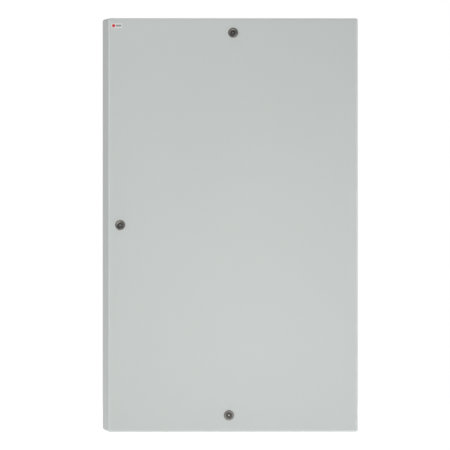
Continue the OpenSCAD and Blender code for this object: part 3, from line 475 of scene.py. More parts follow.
class Finish(Nodes):
    """One material: a Principled shader and the nodes that vary it."""

    def __init__(self, name, colour=(0.5, 0.5, 0.5), rough=0.5, **sockets):
        self.material = bpy.data.materials.new(name)
        self.material.use_nodes = True
        super().__init__(self.material.node_tree, "Object")
        inputs = {socket.replace("_", " "): value for socket, value in sockets.items()}
        inputs |= {"Base Color": (*colour, 1.0), "Roughness": rough}
        surface = self.add("ShaderNodeBsdfPrincipled", {}, inputs)
        self.shader = surface.socket.node
        self.close("ShaderNodeOutputMaterial", surface)

    def noise(self, scale, detail=2.0, place=None, output=0, distortion=0.0):
        """Fractal noise, its scale in features per metre."""
        inputs = {"Vector": place or self.place, "Scale": scale, "Detail": detail,
                  "Distortion": distortion}
        return self.add("ShaderNodeTexNoise", {}, inputs, output)

    def cells(self, scale, output="Distance", place=None, feature="F1"):
        """Cells round scattered points."""
        inputs = {"Vector": place or self.place, "Scale": scale}
        return self.add("ShaderNodeTexVoronoi", {"feature": feature}, inputs, output)

    def stretched(self, scale):
        """Object coordinates scaled per axis, for grain that runs one way."""
        return self.add("ShaderNodeMapping", {}, {"Vector": self.place, "Scale": scale})

    def mix(self, factor, a, b, blend="MIX"):
        """Colour a carried to colour b by a factor."""
        a, b = (c if isinstance(c, Link) else (*c[:3], 1.0) for c in (a, b))
        settings = {"data_type": "RGBA", "blend_type": blend}
        return self.add("ShaderNodeMix", settings, {0: factor, 6: a, 7: b}, 2)

    def done(self, colour=None, rough=None, height=None, depth=0.0, strength=1.0):
        """Joins the patterns to the shader and gives the material; depth in millimetres."""
        links = {"Base Color": colour, "Roughness": rough}
        if height is not None:
            inputs = {"Height": height, "Distance": depth * MM, "Strength": strength}
            links["Normal"] = self.add("ShaderNodeBump", {}, inputs)
        for socket, link in links.items():
            if link is not None:
                self.tree.links.new(link.socket, self.shader.inputs[socket])
        return self.material


def shade(colour, factor):
    """A colour made lighter or darker, no channel over one."""
    return tuple(min(c * factor, 1.0) for c in colour)


def powder_coat(name, settings, rim=None):
    """Textured polyester powder: a fine peel and faint cloudiness; with a box for the
    rim, a painted highlight lightens the colour along the outer folds of its front."""
    base = tuple(settings.colour)
    f = Finish(name, base, IOR=1.5)
    cloud = f.noise(2.6, 3.0)
    fine = f.noise(420.0, 2.0)
    peel = f.cells(settings.peel_per_metre, feature="SMOOTH_F1")
    tone = f.mix(f.spread(cloud, 0.0, 1.0), shade(base, 0.985), shade(base, 1.012))
    tone = f.mix(f.spread(fine, 0.0, 0.5), tone, shade(base, 0.955))
    # painted highlight: the colour is lighter along the door's side folds, and half as much along
    # its top and bottom, standing in for light caught by the rounded edges
    if rim is not None:
        per_metre, front_depth = 1 / MM, 3.0
        half, middle = (rim[1] - rim[0]) / 2, (rim[0] + rim[1]) / 2
        x, y, z = f.axes()
        sides = ((abs(x - middle[0]) - half[0]) * per_metre + settings.painted_highlight_width).clipped()
        ends = ((abs(z - middle[2]) - half[2]) * per_metre + settings.painted_highlight_width).clipped()
        front = ((rim[0][1] - y) * per_metre + front_depth).clipped()
        tone = f.mix((sides + ends * 0.5) * front * settings.painted_highlight_lift, tone,
                     shade(base, 1.6))
    swing = 0.05
    rough = f.spread(cloud + fine * 0.4, settings.gloss_roughness - swing,
                     settings.gloss_roughness + swing, (0.4, 1.0))
    height = peel * 0.6 + f.noise(1100.0, 2.0) * 0.4
    return f.done(tone, rough, height, 0.05, 0.6)


def spangled_zinc(name):
    """Hot dip galvanised sheet: flat crystals of differing brightness and gloss."""
    base = (0.60, 0.615, 0.625)
    f = Finish(name, base, Metallic=1.0)
    bend = f.add("ShaderNodeVectorMath", {"operation": "MULTIPLY_ADD"},
                 {0: f.noise(60.0, 2.0, output="Color"), 1: (0.012, 0.012, 0.012), 2: f.place})
    crystal = f.axes(f.cells(70.0, "Color", bend))
    small = f.axes(f.cells(210.0, "Color", bend))
    value = crystal[0] * 0.7 + small[1] * 0.3
    streak = f.noise(9.0, 4.0, f.stretched((1.0, 1.0, 0.12)))
    tone = f.mix(value, shade(base, 0.78), shade(base, 1.16))
    tone = f.mix(f.spread(streak, 0.0, 0.35), tone, (0.52, 0.53, 0.53))
    rough = f.spread(value, 0.34, 0.56, (0.0, 1.0))
    return f.done(tone, rough, value, 0.03, 0.5)


def plated(name, base, tarnish, rough, grains=2080.0):
    """Plated or drawn metal: fine grain, cloudy passivation and finger marks."""
    f = Finish(name, base, Metallic=1.0)
    cloud = f.noise(38.0, 4.0, distortion=0.4)
    grain = f.noise(grains, 3.0)
    tone = f.mix(f.spread(cloud, 0.0, 1.0), base, tarnish)
    tone = f.mix(f.spread(grain, 0.0, 0.35), tone, shade(base, 0.72))
    return f.done(tone, f.spread(cloud * 0.6 + grain * 0.4, *rough, (0.35, 0.65)), grain,
                  0.02, 0.5)


def brushed(name, base, rough, stretch):
    """Rolled or brushed sheet: long fine scratches along the sheet."""
    f = Finish(name, base, Metallic=1.0)
    lines = f.noise(900.0, 3.0, f.stretched(stretch))
    cloud = f.noise(14.0, 3.0)
    tone = f.mix(f.spread(lines, 0.0, 1.0), shade(base, 0.86), shade(base, 1.08))
    return f.done(tone, f.spread(lines * 0.5 + cloud * 0.5, *rough), lines, 0.02, 0.5)


def moulded(name, base, rough=(0.38, 0.52), grain=1500.0, depth=0.03, dust=0.04, **sockets):
    """Moulded plastic or rubber: spark eroded grain, flow clouding and light dust."""
    f = Finish(name, base, **sockets)
    flow = f.noise(16.0, 3.0, distortion=0.6)
    fine = f.noise(grain, 2.0)
    tone = f.mix(f.spread(flow, 0.0, 1.0), shade(base, 0.95), shade(base, 1.04))
    tone = f.mix(f.spread(f.noise(120.0, 4.0), 0.0, dust, (0.45, 0.75)), tone, (0.6, 0.59, 0.56))
    return f.done(tone, f.spread(flow * 0.5 + fine * 0.5, *rough), fine, depth, 0.6)


def tinted(name, rough=(0.34, 0.48), grain=900.0, depth=0.02):
    """Plastic whose colour comes from the piece's own tint, with grain and clouding."""
    f = Finish(name)
    tint = f.add("ShaderNodeAttribute", {"attribute_name": "tint"}, {}, "Color")
    flow = f.noise(30.0, 3.0)
    fine = f.noise(grain, 2.0)
    darker = f.mix(1.0, tint, (0.84, 0.84, 0.84), "MULTIPLY")
    tone = f.mix(f.spread(flow, 0.0, 0.6), tint, darker)
    return f.done(tone, f.spread(flow * 0.5 + fine * 0.5, *rough), fine, depth, 0.5)


def braid(name):
    """Tinned copper braid: two families of strands crossing along the strap."""
    base = (0.62, 0.50, 0.36)
    f = Finish(name, base, Metallic=1.0)
    fine = f.noise(2600.0, 2.0)
    cloud = f.noise(90.0, 3.0)
    tone = f.mix(f.spread(cloud, 0.0, 1.0), base, (0.60, 0.56, 0.50))
    tone = f.mix(f.spread(fine, 0.0, 0.6), tone, (0.22, 0.15, 0.09))
    return f.done(tone, f.spread(fine, 0.3, 0.5), fine, 0.1, 0.8)


def foam(name, base):
    """Foamed-in-place seal: skin with fine open cells."""
    f = Finish(name, base, Sheen_Weight=0.15)
    cell = f.cells(1400.0)
    patch = f.noise(60.0, 3.0)
    tone = f.mix(f.spread(cell, 0.0, 1.0, (0.1, 0.6)), shade(base, 0.6), shade(base, 1.15))
    tone = f.mix(f.spread(patch, 0.0, 0.4), tone, shade(base, 1.4))
    return f.done(tone, f.spread(patch, 0.78, 0.94), cell, 0.2, 0.7)


def circuit_board(name):
    """Solder mask over copper tracks: square steps of a brick pattern, with pads."""
    f = Finish(name, (0.02, 0.12, 0.05), Coat_Weight=0.4)
    upright = f.add("ShaderNodeMapping", {},
                    {"Vector": f.place, "Rotation": (radians(90), 0, 0)})
    inputs = {"Vector": upright, "Scale": 160.0, "Mortar Size": 0.09,
              "Color1": (0, 0, 0, 1), "Color2": (0, 0, 0, 1), "Mortar": (1, 1, 1, 1)}
    tracks = f.axes(f.add("ShaderNodeTexBrick", {"offset": 0.37}, inputs, "Color"))[0]
    pads = f.cells(330.0) < 0.16
    tone = f.mix(tracks, (0.012, 0.09, 0.035), (0.03, 0.19, 0.08))
    tone = f.mix(pads, tone, (0.62, 0.60, 0.52))
    rough = f.spread(f.noise(90.0, 3.0), 0.26, 0.4)
    return f.done(tone, rough, tracks, 0.04, 0.5)


def liquid_display(name):
    """Display behind clear film: a grey frame and a pale window of fine dots."""
    lo, hi = box_of("display_module")
    f = Finish(name, (0.05, 0.05, 0.05), Coat_Weight=1.0, Coat_Roughness=0.04)
    x, _, z = f.axes()
    mid, half = (lo + hi) / 2, (hi - lo) / 2
    border, ripple = 12 * MM, 3600.0
    window = (abs(x - mid[0]) < half[0] - border) * (abs(z - mid[2]) < half[2] - border)
    dots = (x * ripple).wave() * (z * ripple).wave() > -0.2
    lit = f.noise(12.0, 2.0)
    pale = f.mix(f.spread(lit, 0.0, 1.0), (0.30, 0.36, 0.22), (0.36, 0.42, 0.26))
    pale = f.mix(dots * 0.25, pale, (0.22, 0.28, 0.17))
    tone = f.mix(window, (0.035, 0.037, 0.04), pale)
    return f.done(tone, f.spread(f.noise(40.0, 3.0), 0.08, 0.16), dots * window, 0.01, 0.3)


def lamp_lenses(name):
    """Diffused lamps: green on the left, amber in the middle, red on the right."""
    spots = solids("indicator_lamps").mean(axis=1)[:, 0]
    left, right = np.unique(np.round(spots, 3))[[0, -1]]
    step = (right - left) / 4
    f = Finish(name, (0.5, 0.1, 0.05), Coat_Weight=0.6)
    x = f.axes()[0]
    tone = f.mix(x > left + step, (0.05, 0.32, 0.08), (0.62, 0.33, 0.03))
    tone = f.mix(x > right - step, tone, (0.55, 0.03, 0.02))
    cloud = f.noise(900.0, 2.0)
    tone = f.mix(f.spread(cloud, 0.0, 0.25), tone, (0.8, 0.75, 0.7))
    return f.done(tone, f.spread(cloud, 0.14, 0.26), cloud, 0.02, 0.3)


def label_film(name):
    """Pale sticker with a plain red disc and two dark bars, no lettering."""
    lo, hi = box_of("name_label")
    f = Finish(name, (0.86, 0.86, 0.85), Coat_Weight=0.3, Coat_Roughness=0.2)
    x, _, z = f.axes()
    mid = (lo + hi) / 2
    size = hi - lo
    dx, dz = x - (lo[0] + 0.22 * size[0]), z - mid[2]
    disc = (dx * dx + dz * dz) < (0.37 * size[2]) ** 2
    bar_x = abs(x - (lo[0] + 0.68 * size[0])) < 0.26 * size[0]
    upper = abs(z - (mid[2] + 0.11 * size[2])) < 0.09 * size[2]
    lower = abs(z - (mid[2] - 0.15 * size[2])) < 0.05 * size[2]
    paper = f.mix(f.spread(f.noise(500.0, 3.0), 0.0, 1.0), (0.70, 0.71, 0.70), (0.76, 0.77, 0.76))
    tone = f.mix(disc, paper, (0.60, 0.025, 0.035))
    tone = f.mix(bar_x * (upper + lower).clipped(), tone, (0.035, 0.037, 0.045))
    rough = f.spread(f.noise(80.0, 2.0), 0.3, 0.42)
    return f.done(tone, rough, f.noise(1800.0, 2.0), 0.01, 0.3)


def made_once(name, maker, *args, **options):
    """The material of this name, made the first time that it is asked for."""
    return bpy.data.materials.get(name) or maker(name, *args, **options)


def nickel():
    return made_once("dark_nickel", plated, (0.222, 0.212, 0.196), (0.17, 0.16, 0.145),
                     (0.14, 0.26), 2400.0)


def plate_metal():
    return made_once("zinc_plate", plated, (0.66, 0.665, 0.65), (0.60, 0.60, 0.50),
                     (0.24, 0.42))


def brass_metal():
    return made_once("brass_metal", plated, (0.55, 0.41, 0.17), (0.38, 0.27, 0.12),
                     (0.26, 0.44))


def dark_plastic():
    return made_once("dark_moulding", moulded, (0.035, 0.036, 0.038), (0.36, 0.52))


def light_plastic():
    return made_once("light_moulding", moulded, (0.66, 0.665, 0.65), (0.4, 0.54))


def tint_plastic():
    return made_once("tinted_moulding", tinted)


# ---------------------------------------------------------------- sizes and colours


class StudioSettings(bpy.types.PropertyGroup):
    """Camera and light of the studio."""

    azimuth: FloatProperty(
        name="View azimuth", description="Direction that the camera looks from",
        default=radians(-3.55), subtype="ANGLE")
    elevation: FloatProperty(
        name="View elevation", description="Camera's angle above the horizon",
        default=radians(0.27), subtype="ANGLE")
    distance: FloatProperty(
        name="Distance", description="From the camera to the cabinet", default=40.0,
        unit="LENGTH")
    lens: FloatProperty(
        name="Lens", description="Focal length in millimetres", default=1098.5, unit="CAMERA")
    shift: FloatVectorProperty(
        name="Shift", description="Camera shift across and up", size=2, default=(-0.0109, -0.0003))
    ambient: FloatProperty(
        name="Ambient", description="Brightness of the studio walls", default=0.535)
    key_power: FloatProperty(
        name="Key light", description="Power of the large soft light", default=14.0, unit="POWER")
    fill_power: FloatProperty(
        name="Fill light", description="Power of the second light", default=19.0, unit="POWER")


class CoatSettings(bpy.types.PropertyGroup):
    """Powder coat of the enclosure."""

    colour: FloatVectorProperty(
        name="Coat colour", description="Light grey of the enclosure", size=3,
        default=(0.545, 0.575, 0.562), subtype="COLOR")
    gloss_roughness: FloatProperty(
        name="Coat roughness", description="Roughness of the cured powder", default=0.48,
        subtype="FACTOR")
    peel_per_metre: FloatProperty(
        name="Peel", description="Orange peel cells per metre", default=420.0)
    # width and strength of the painted highlight along the door's folds
    painted_highlight_width: FloatProperty(
        name="Rim width", description="Width in mm of the light folds of the door", default=4.6)
    painted_highlight_lift: FloatProperty(
        name="Rim lift", description="How much lighter the folds are", default=0.36,
        subtype="FACTOR")


class LockSettings(bpy.types.PropertyGroup):
    """Faces of the three cam locks, in millimetres."""

    crown_inset: FloatProperty(
        name="Crown inset", description="From the rim's outer edge to its crown", default=2.3)
    well_radius: FloatProperty(
        name="Well radius", description="Radius of the recess that the insert sits in",
        default=9.3)
    well_depth: FloatProperty(
        name="Well depth", description="From the crown to the recess's floor", default=2.2)
    insert_drop: FloatProperty(
        name="Insert drop", description="From the crown to the insert's face", default=1.0)
    socket_radius: FloatProperty(
        name="Key socket", description="Radius of the round key opening", default=5.4)
    pin_radius: FloatProperty(
        name="Pin", description="Radius of the pin in the key opening", default=2.0)
    thread_pitch: FloatProperty(
        name="Thread pitch", description="Pitch of the barrel's thread", default=1.5)


class WireSettings(bpy.types.PropertyGroup):
    """Wires between the ducts and the devices."""

    slack: FloatProperty(
        name="Slack", description="How far a wire bows out, in millimetres", default=1.1)
    sides: IntProperty(
        name="Sides", description="Faces round a wire", default=8, min=6)


# the earth strap's middle line from the door's stud to the cabinet's, in millimetres
STRAP_ROUTE = ((308, -292, -333.4), (308, -291, -345), (308.5, -286, -358), (309, -278, -368),
               (309.5, -268, -375), (312, -258, -378), (318, -249, -378), (326, -243, -375),
               (334, -240, -368), (341.5, -238.5, -358), (347.5, -238, -346),
               (349.5, -238, -333.4))
# device wires in the order of their places: red, blue, black, white, brown, blue, red
WIRE_TINTS = ((0.50, 0.025, 0.02), (0.02, 0.045, 0.30), (0.012, 0.012, 0.013),
              (0.55, 0.55, 0.53), (0.17, 0.06, 0.02), (0.02, 0.045, 0.30),
              (0.50, 0.025, 0.02))


# ---------------------------------------------------------------- placing


def finish_nodes(finish, *nodes):
    """Gives CAD nodes a finish; their meshes stay as they are."""
    for node in nodes:
        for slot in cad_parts[node].material_slots:
            slot.material = finish


def front_of(box, y=None):
    """The middle of a box's front face."""
    return np.array([(box[0][0] + box[1][0]) / 2, box[0][1] if y is None else y,
                     (box[0][2] + box[1][2]) / 2])


def fronts(boxes):
    """The middles of the front faces of boxes."""
    return np.array([front_of(b) for b in boxes])


# ---------------------------------------------------------------- operators


class CABINET_OT_studio(bpy.types.Operator):
    """Floor, lights, sky and camera"""

    bl_idname = "cabinet.studio"
    bl_label = "Studio"

    def execute(self, context):
        s = context.scene.cabinet_studio
        low, high = (np.array(c) for c in CAD_BOX)
        middle = Vector((0.0, float(low[1] + high[1]) / 2, 0.0))
        self.view(context, s, middle)
        self.floor(float(low[2]) - 0.5 * MM)
        self.sky(context, s.ambient)
        self.lights(s, middle)
        context.scene.view_settings.view_transform = "Standard"
        return {"FINISHED"}

    @staticmethod
    def view(context, s, middle):
        """A long lens far away, so that parallel edges stay parallel."""
        back = Vector((sin(s.azimuth) * cos(s.elevation), -cos(s.azimuth) * cos(s.elevation),
                       sin(s.elevation)))
        lens = bpy.data.cameras.new("view")
        lens.sensor_width, lens.lens = 36.0, s.lens
        lens.shift_x, lens.shift_y = s.shift
        lens.clip_start, lens.clip_end = 1.0, 200.0
        camera = linked("view", lens)
        camera.location = middle + back * s.distance
        camera.rotation_euler = (-back).to_track_quat("-Z", "Y").to_euler()
        context.scene.camera = camera

    @staticmethod
    def floor(level, reach=5.0):
        """A white square that glows a little, so that its edge can't be seen."""
        finish = Finish("studio_floor", (0.86, 0.86, 0.86), 0.9, Emission_Color=(1, 1, 1, 1),
                        Emission_Strength=0.56)
        mesh = bpy.data.meshes.new("floor")
        corners = ((-1, -1), (1, -1), (1, 1), (-1, 1))
        mesh.from_pydata([(x * reach, y * reach, level) for x, y in corners], [], [(0, 1, 2, 3)])
        mesh.materials.append(finish.done())
        ground = linked("floor", mesh)

    @staticmethod
    def lights(s, middle):
        """Soft square lamps that face the cabinet: name, place, side and power."""
        lamps = (
            ("key", (-2.7, -5.4, 0.2), 3.2, s.key_power),
            ("fill", (3.4, -4.8, 0.1), 2.7, s.fill_power),
            ("low", (0.1, -1.5, -0.47), 0.7, s.fill_power * 0.22),
            ("high", (-0.4, -1.4, 1.15), 0.8, s.fill_power * 0.14),
            ("back", (1.5, 3.0, 1.6), 2.5, s.fill_power * 1.05),
        )
        for name, place, size, power in lamps:
            light = bpy.data.lights.new(name, "AREA")
            light.size, light.energy = size, power
            lamp = linked(name, light)
            lamp.location = place
            lamp.rotation_euler = (middle - Vector(place)).to_track_quat("-Z", "Y").to_euler()

    @staticmethod
    def sky(context, ambient):
        """White behind the object; walls of soft grey light, darker ahead of it."""
        world = bpy.data.worlds.new("studio")
        world.use_nodes = True
        context.scene.world = world
        sky = Nodes(world.node_tree, "Generated")
        stops = [(place, (grey,) * 3)
                 for place, grey in ((0.0, 0.62), (0.22, 0.95), (0.5, 1.0), (1.0, 1.0))]
        depth = sky.spread(sky.axes()[1], 0.0, 1.0, (-1.0, 1.0))
        grey = sky.add("ShaderNodeValToRGB", {"stops": stops}, {0: depth})
        walls = sky.add("ShaderNodeBackground", {}, {"Color": grey, "Strength": ambient})
        seen = sky.add("ShaderNodeBackground", {}, {"Color": (1, 1, 1, 1)})
        direct = sky.add("ShaderNodeLightPath", {}, {}, "Is Camera Ray")
        sky.close("ShaderNodeOutputWorld",
                  sky.add("ShaderNodeMixShader", {}, {0: direct, 1: walls, 2: seen}))


class CABINET_OT_coat(bpy.types.Operator):
    """Powder coat on the enclosure, the door and what is welded to them"""

    bl_idname = "cabinet.coat"
    bl_label = "Powder coat"

    def execute(self, context):
        coat = powder_coat("powder_coat", context.scene.cabinet_coat)
        finish_nodes(coat, "body_shell", "rear_panel", "gland_plate", "hinge_brackets",
                     "door_channels", "door_stiffeners", "hinge_leaves")
        # the door's coat carries a painted highlight along its outer folds
        finish_nodes(powder_coat("door_coat_painted_highlight", context.scene.cabinet_coat,
                                 box_of("door_panel")), "door_panel")
        return {"FINISHED"}


class CABINET_OT_metals(bpy.types.Operator):
    """Bare and plated metal of the plate, rails, shelf, pins, cams and studs"""

    bl_idname = "cabinet.metals"
    bl_label = "Bare metal"

    def execute(self, context):
        finish_nodes(spangled_zinc("galvanised_sheet"), "mounting_plate", "battery_shelf",
                     "battery_bracket")
        finish_nodes(plate_metal(), "plate_studs", "hinge_pins", "lock_cam_side",
                     "lock_cam_top", "lock_cam_bottom")
        finish_nodes(brushed("rolled_rail", (0.46, 0.465, 0.46), (0.34, 0.48),
                             (0.03, 1.0, 1.0)), "din_rails")
        finish_nodes(brushed("supply_case", (0.47, 0.48, 0.49), (0.3, 0.46),
                             (1.0, 1.0, 0.04)), "power_supply_case")
        finish_nodes(brass_metal(), "battery_posts", "earth_stud", "door_stud", "earth_bar")
        return {"FINISHED"}


class CABINET_OT_mouldings(bpy.types.Operator):
    """Plastics, rubbers, board, display and lamps"""

    bl_idname = "cabinet.mouldings"
    bl_label = "Mouldings"

    def execute(self, context):
        finish_nodes(light_plastic(), "control_unit_case", "control_unit_cover", "loop_modules")
        finish_nodes(dark_plastic(), "power_supply_terminals", "rail_supports", "mains_toggle",
                     "battery_toggle", "button_reset", "button_test")
        finish_nodes(moulded("white_moulding", (0.74, 0.74, 0.72), (0.34, 0.48)),
                     "mains_breaker", "battery_breaker", "contact_switch", "contact_magnet")
        finish_nodes(moulded("middle_moulding", (0.30, 0.31, 0.31), (0.4, 0.55)),
                     "terminal_blocks", "document_pocket")
        finish_nodes(moulded("extruded_duct", (0.36, 0.37, 0.375), (0.42, 0.55), grain=700.0,
                             depth=0.02, dust=0.1), "wiring_ducts", "duct_covers")
        finish_nodes(moulded("green_moulding", (0.05, 0.27, 0.07), (0.32, 0.46)),
                     "loop_module_plugs")
        finish_nodes(moulded("grey_rubber", (0.15, 0.153, 0.155), (0.6, 0.78), grain=1200.0,
                             depth=0.04, dust=0.2, Sheen_Weight=0.1), "cable_grommets")
        finish_nodes(moulded("seal_rubber", (0.40, 0.41, 0.405), (0.55, 0.72), grain=1100.0,
                             depth=0.04, dust=0.08), "lock_seals")
        finish_nodes(moulded("battery_case_plastic", (0.055, 0.058, 0.062), (0.36, 0.5),
                             grain=900.0, depth=0.05, dust=0.02), "battery_cases")
        finish_nodes(moulded("key_yellow", (0.62, 0.42, 0.02)), "button_silence")
        finish_nodes(moulded("blue_insulation", (0.02, 0.05, 0.35)), "device_wires")
        finish_nodes(moulded("red_insulation", (0.45, 0.02, 0.02)), "battery_leads")
        finish_nodes(foam("pale_foam", (0.10, 0.10, 0.105)), "gland_plate_gasket")
        finish_nodes(circuit_board("circuit_board"), "control_unit_board")
        finish_nodes(liquid_display("display_window"), "display_module")
        finish_nodes(lamp_lenses("lamp_lenses"), "indicator_lamps")
        finish_nodes(label_film("name_label_film"), "name_label")
        return {"FINISHED"}


class CABINET_OT_locks(bpy.types.Operator):
    """Lock bodies with threaded barrels, turning inserts and their pins"""

    bl_idname = "cabinet.locks"
    bl_label = "Cam locks"

    def execute(self, context):
        s = context.scene.cabinet_locks
        housings = solids("lock_housings")
        sheet = box_of("door_panel")[0][1]
        places = fronts(housings)
        places[:, 1] = sheet
        core = box_of("lock_core_side")
        play, wall = 0.15, 2.85
        rim = (housings[0][1][0] - housings[0][0][0]) / 2 / MM
        crown = (sheet - housings[0][0][1]) / MM
        seat = (sheet - solids("lock_seals")[0][0][1]) / MM
        end = (sheet - housings[0][1][1]) / MM
        bore = (core[1][0] - core[0][0]) / 2 / MM + play
        body = self.body(s, rim, crown, seat, end, bore, bore + wall)
        shape = Shape().ring(turned(body, places, steps=64))
        shape.piece("lock_bodies", "door", "zinc_cast", nickel(), sharp=50,
                    replaces=("lock_housings",))
        dark = made_once("dark_casting", plated, (0.12, 0.12, 0.122),
                         (0.05, 0.05, 0.052), (0.28, 0.46))
        for side in ("side", "top", "bottom"):
            box = box_of("lock_core_" + side)
            at = front_of(box, sheet)
            back = (sheet - box[1][1]) / MM
            Shape().form(self.insert(s, at, crown, back, bore - play)).piece(
                "lock_insert_" + side, "lock_" + side, "dark_cast", dark, sharp=40,
                replaces=("lock_core_" + side,))
            tip = crown - s.insert_drop
            foot, bevel = tip - 5.8, 0.5
            pin = [(0, foot), (s.pin_radius, foot), (s.pin_radius, tip - bevel),
                   (s.pin_radius - bevel, tip), (0, tip + 0.05)]
            Shape().form(turned(pin, at, steps=24)).piece(
                "lock_pin_" + side, "lock_" + side, "zinc_cast", plate_metal())
        return {"FINISHED"}

    @staticmethod
    def body(s, rim, crown, seat, end, bore, barrel):
        """Rim as a quarter ellipse up to the crown and a shallow fall to the well; the
        barrel's thread is a sine sampled four times a pitch, cut below the barrel's face."""
        a = np.linspace(0, pi / 2, 9)
        outer = np.c_[rim - s.crown_inset * (1 - np.cos(a)),
                      seat + 0.5 + (crown - seat - 0.5) * np.sin(a)]
        fall = np.linspace(0, 1, 5)[1:]
        lip = s.well_radius + 0.35
        inner = np.c_[outer[-1, 0] + (lip - outer[-1, 0]) * fall, crown - 0.45 * fall**2]
        level = np.arange(end + 1.0, -0.4, s.thread_pitch / 4)
        thread = np.c_[barrel + 0.28 * np.sin(np.arange(len(level)) * pi / 2) - 0.28, level]
        floor = crown - s.well_depth
        return np.concatenate([
            [(bore, end), (barrel - 0.7, end)], thread, [(barrel, -0.2), (barrel, seat)],
            [(rim - 0.25, seat), (rim, seat + 0.25)], outer, inner,
            [(s.well_radius, crown - 0.75), (s.well_radius, floor + 0.2),
             (s.well_radius - 0.2, floor), (bore, floor)]])

    @staticmethod
    def insert(s, at, crown, back, radius):
        """The insert's face is a height over the disc, with a round key socket and two
        slots for the key's wings, then its side and tail."""
        across, up, out = facing("-Y")
        r = np.r_[0, np.linspace(0.5, s.socket_radius - 0.1, 8), s.socket_radius,
                  s.socket_radius + 0.25, np.linspace(s.socket_radius + 0.6, 6.2, 4), 6.3,
                  6.5, 7.2, radius - 0.45, radius - 0.1, radius]
        a = np.linspace(0, 2 * pi, 96, endpoint=False)
        x, z = np.outer(np.cos(a), r), np.outer(np.sin(a), r)
        face = crown - s.insert_drop
        deep = np.clip((s.socket_radius - r) / 0.1, 0, 1)[None] * np.ones_like(x)
        slot = np.clip((1.35 - abs(x)) / 0.12, 0, 1) * np.clip((6.4 - abs(z)) / 0.15, 0, 1)
        edge = np.clip((r - radius + 0.5) / 0.5, 0, 1) ** 2 * 0.45
        h = face - np.maximum(deep, slot) * 5.6 - edge[None]
        h += np.clip((r - 6.4) / 0.3, 0, 1) * np.clip((radius - 0.4 - r) / 0.3, 0, 1) * -0.25
        tail = np.array([(radius, -18.0), (4.4, -18.6), (4.4, back), (0, back)])
        x = np.c_[x, np.outer(np.cos(a), tail[:, 0])]
        z = np.c_[z, np.outer(np.sin(a), tail[:, 0])]
        h = np.c_[h, np.broadcast_to(tail[:, 1], (len(a), 4))]
        form = x[..., None] * across + z[..., None] * up + h[..., None] * out
        return form[None] * MM + np.reshape(at, (-1, 1, 1, 3))


class CABINET_OT_seals(bpy.types.Operator):
    """Foamed door seal with a rounded back"""

    bl_idname = "cabinet.seals"
    bl_label = "Door seal"

    def execute(self, context):
        box = box_of("door_gasket")
        size = (box[1] - box[0]) / MM
        width, corner = 10.0, 14.0
        s = np.linspace(-width / 2, width / 2, 13)
        rise = size[1] * np.clip(1 - (2 * s / width) ** 2, 0, 1) ** 0.42
        bead = framed(size[0] - width, size[2] - width, corner, [*zip(s, rise), (0.0, 0.0)],
                      front_of(box), "+Y", 9)
        Shape().ring(bead).piece(
            "door_seal", "door", "seal_foam", foam("dark_foam", (0.045, 0.046, 0.048)),
            sharp=60, replaces=("door_gasket",))
        return {"FINISHED"}


class CABINET_OT_fasteners(bpy.types.Operator):
    """Cross-recess screws, stud nuts with washers and lock nuts"""

    bl_idname = "cabinet.fasteners"
    bl_label = "Fasteners"

    def execute(self, context):
        head = 2.4
        shape = Shape()
        for box in solids("panel_screws"):
            size = (box[1] - box[0]) / MM
            radius = size[0] / 2
            # every screw is shorter than its head is wide, so its short side is its axis
            flat = size[1] < size[2] + 0.01
            way = "-Y" if flat else "+Z"
            middle = box.mean(axis=0)
            if flat:
                middle[1] = box[0][1] + head * MM
                length = (box[1][1] - middle[1]) / MM
            else:
                middle[2] = box[1][2] - head * MM
                length = (middle[2] - box[0][2]) / MM
            shape.form(pan_heads(middle, way, radius, head))
            shank = [(0, -length), (radius * 0.5, -length), (radius * 0.5, 0.1), (0, 0.1)]
            shape.form(turned(shank, middle, way, 16))
        shape.piece("panel_screw_heads", "cabinet", "zinc_plated", plate_metal(),
                    replaces=("panel_screws",))

        shape = Shape()
        for box in solids("plate_fixings"):
            low, high = box / MM
            reach = high[1] - low[1]
            middle = front_of(box, box[1][1])
            radius = (high[0] - low[0]) / 2
            bore = 4.1
            longest_nut, thick = 15, 1.6
            if reach < longest_nut:
                washer = [(bore, 0), (radius - 0.2, 0), (radius, 0.3), (radius, thick - 0.3),
                          (radius - 0.3, thick), (bore, thick)]
                shape.ring(turned(washer, middle))
                seat = middle - np.array([0, thick * MM, 0])
                shape.ring(hex_nuts(seat, "-Y", 13.0, reach - thick, bore))
            else:
                sleeve = [(bore, 0), (radius - 0.4, 0), (radius, 0.4), (radius, reach - 0.4),
                          (radius - 0.4, reach), (bore, reach)]
                shape.ring(turned(sleeve, middle))
        shape.piece("stud_nuts", "cabinet", "zinc_plated", plate_metal(), sharp=30,
                    replaces=("plate_fixings",))

        nuts = solids("lock_nuts")
        low, high = nuts[0] / MM
        flats, bore = high[2] - low[2], 10.9
        shape = Shape().ring(hex_nuts(fronts(nuts), "+Y", flats, high[1] - low[1], bore))
        shape.piece("lock_ring_nuts", "door", "zinc_plated", plate_metal(), sharp=30,
                    replaces=("lock_nuts",))
        return {"FINISHED"}


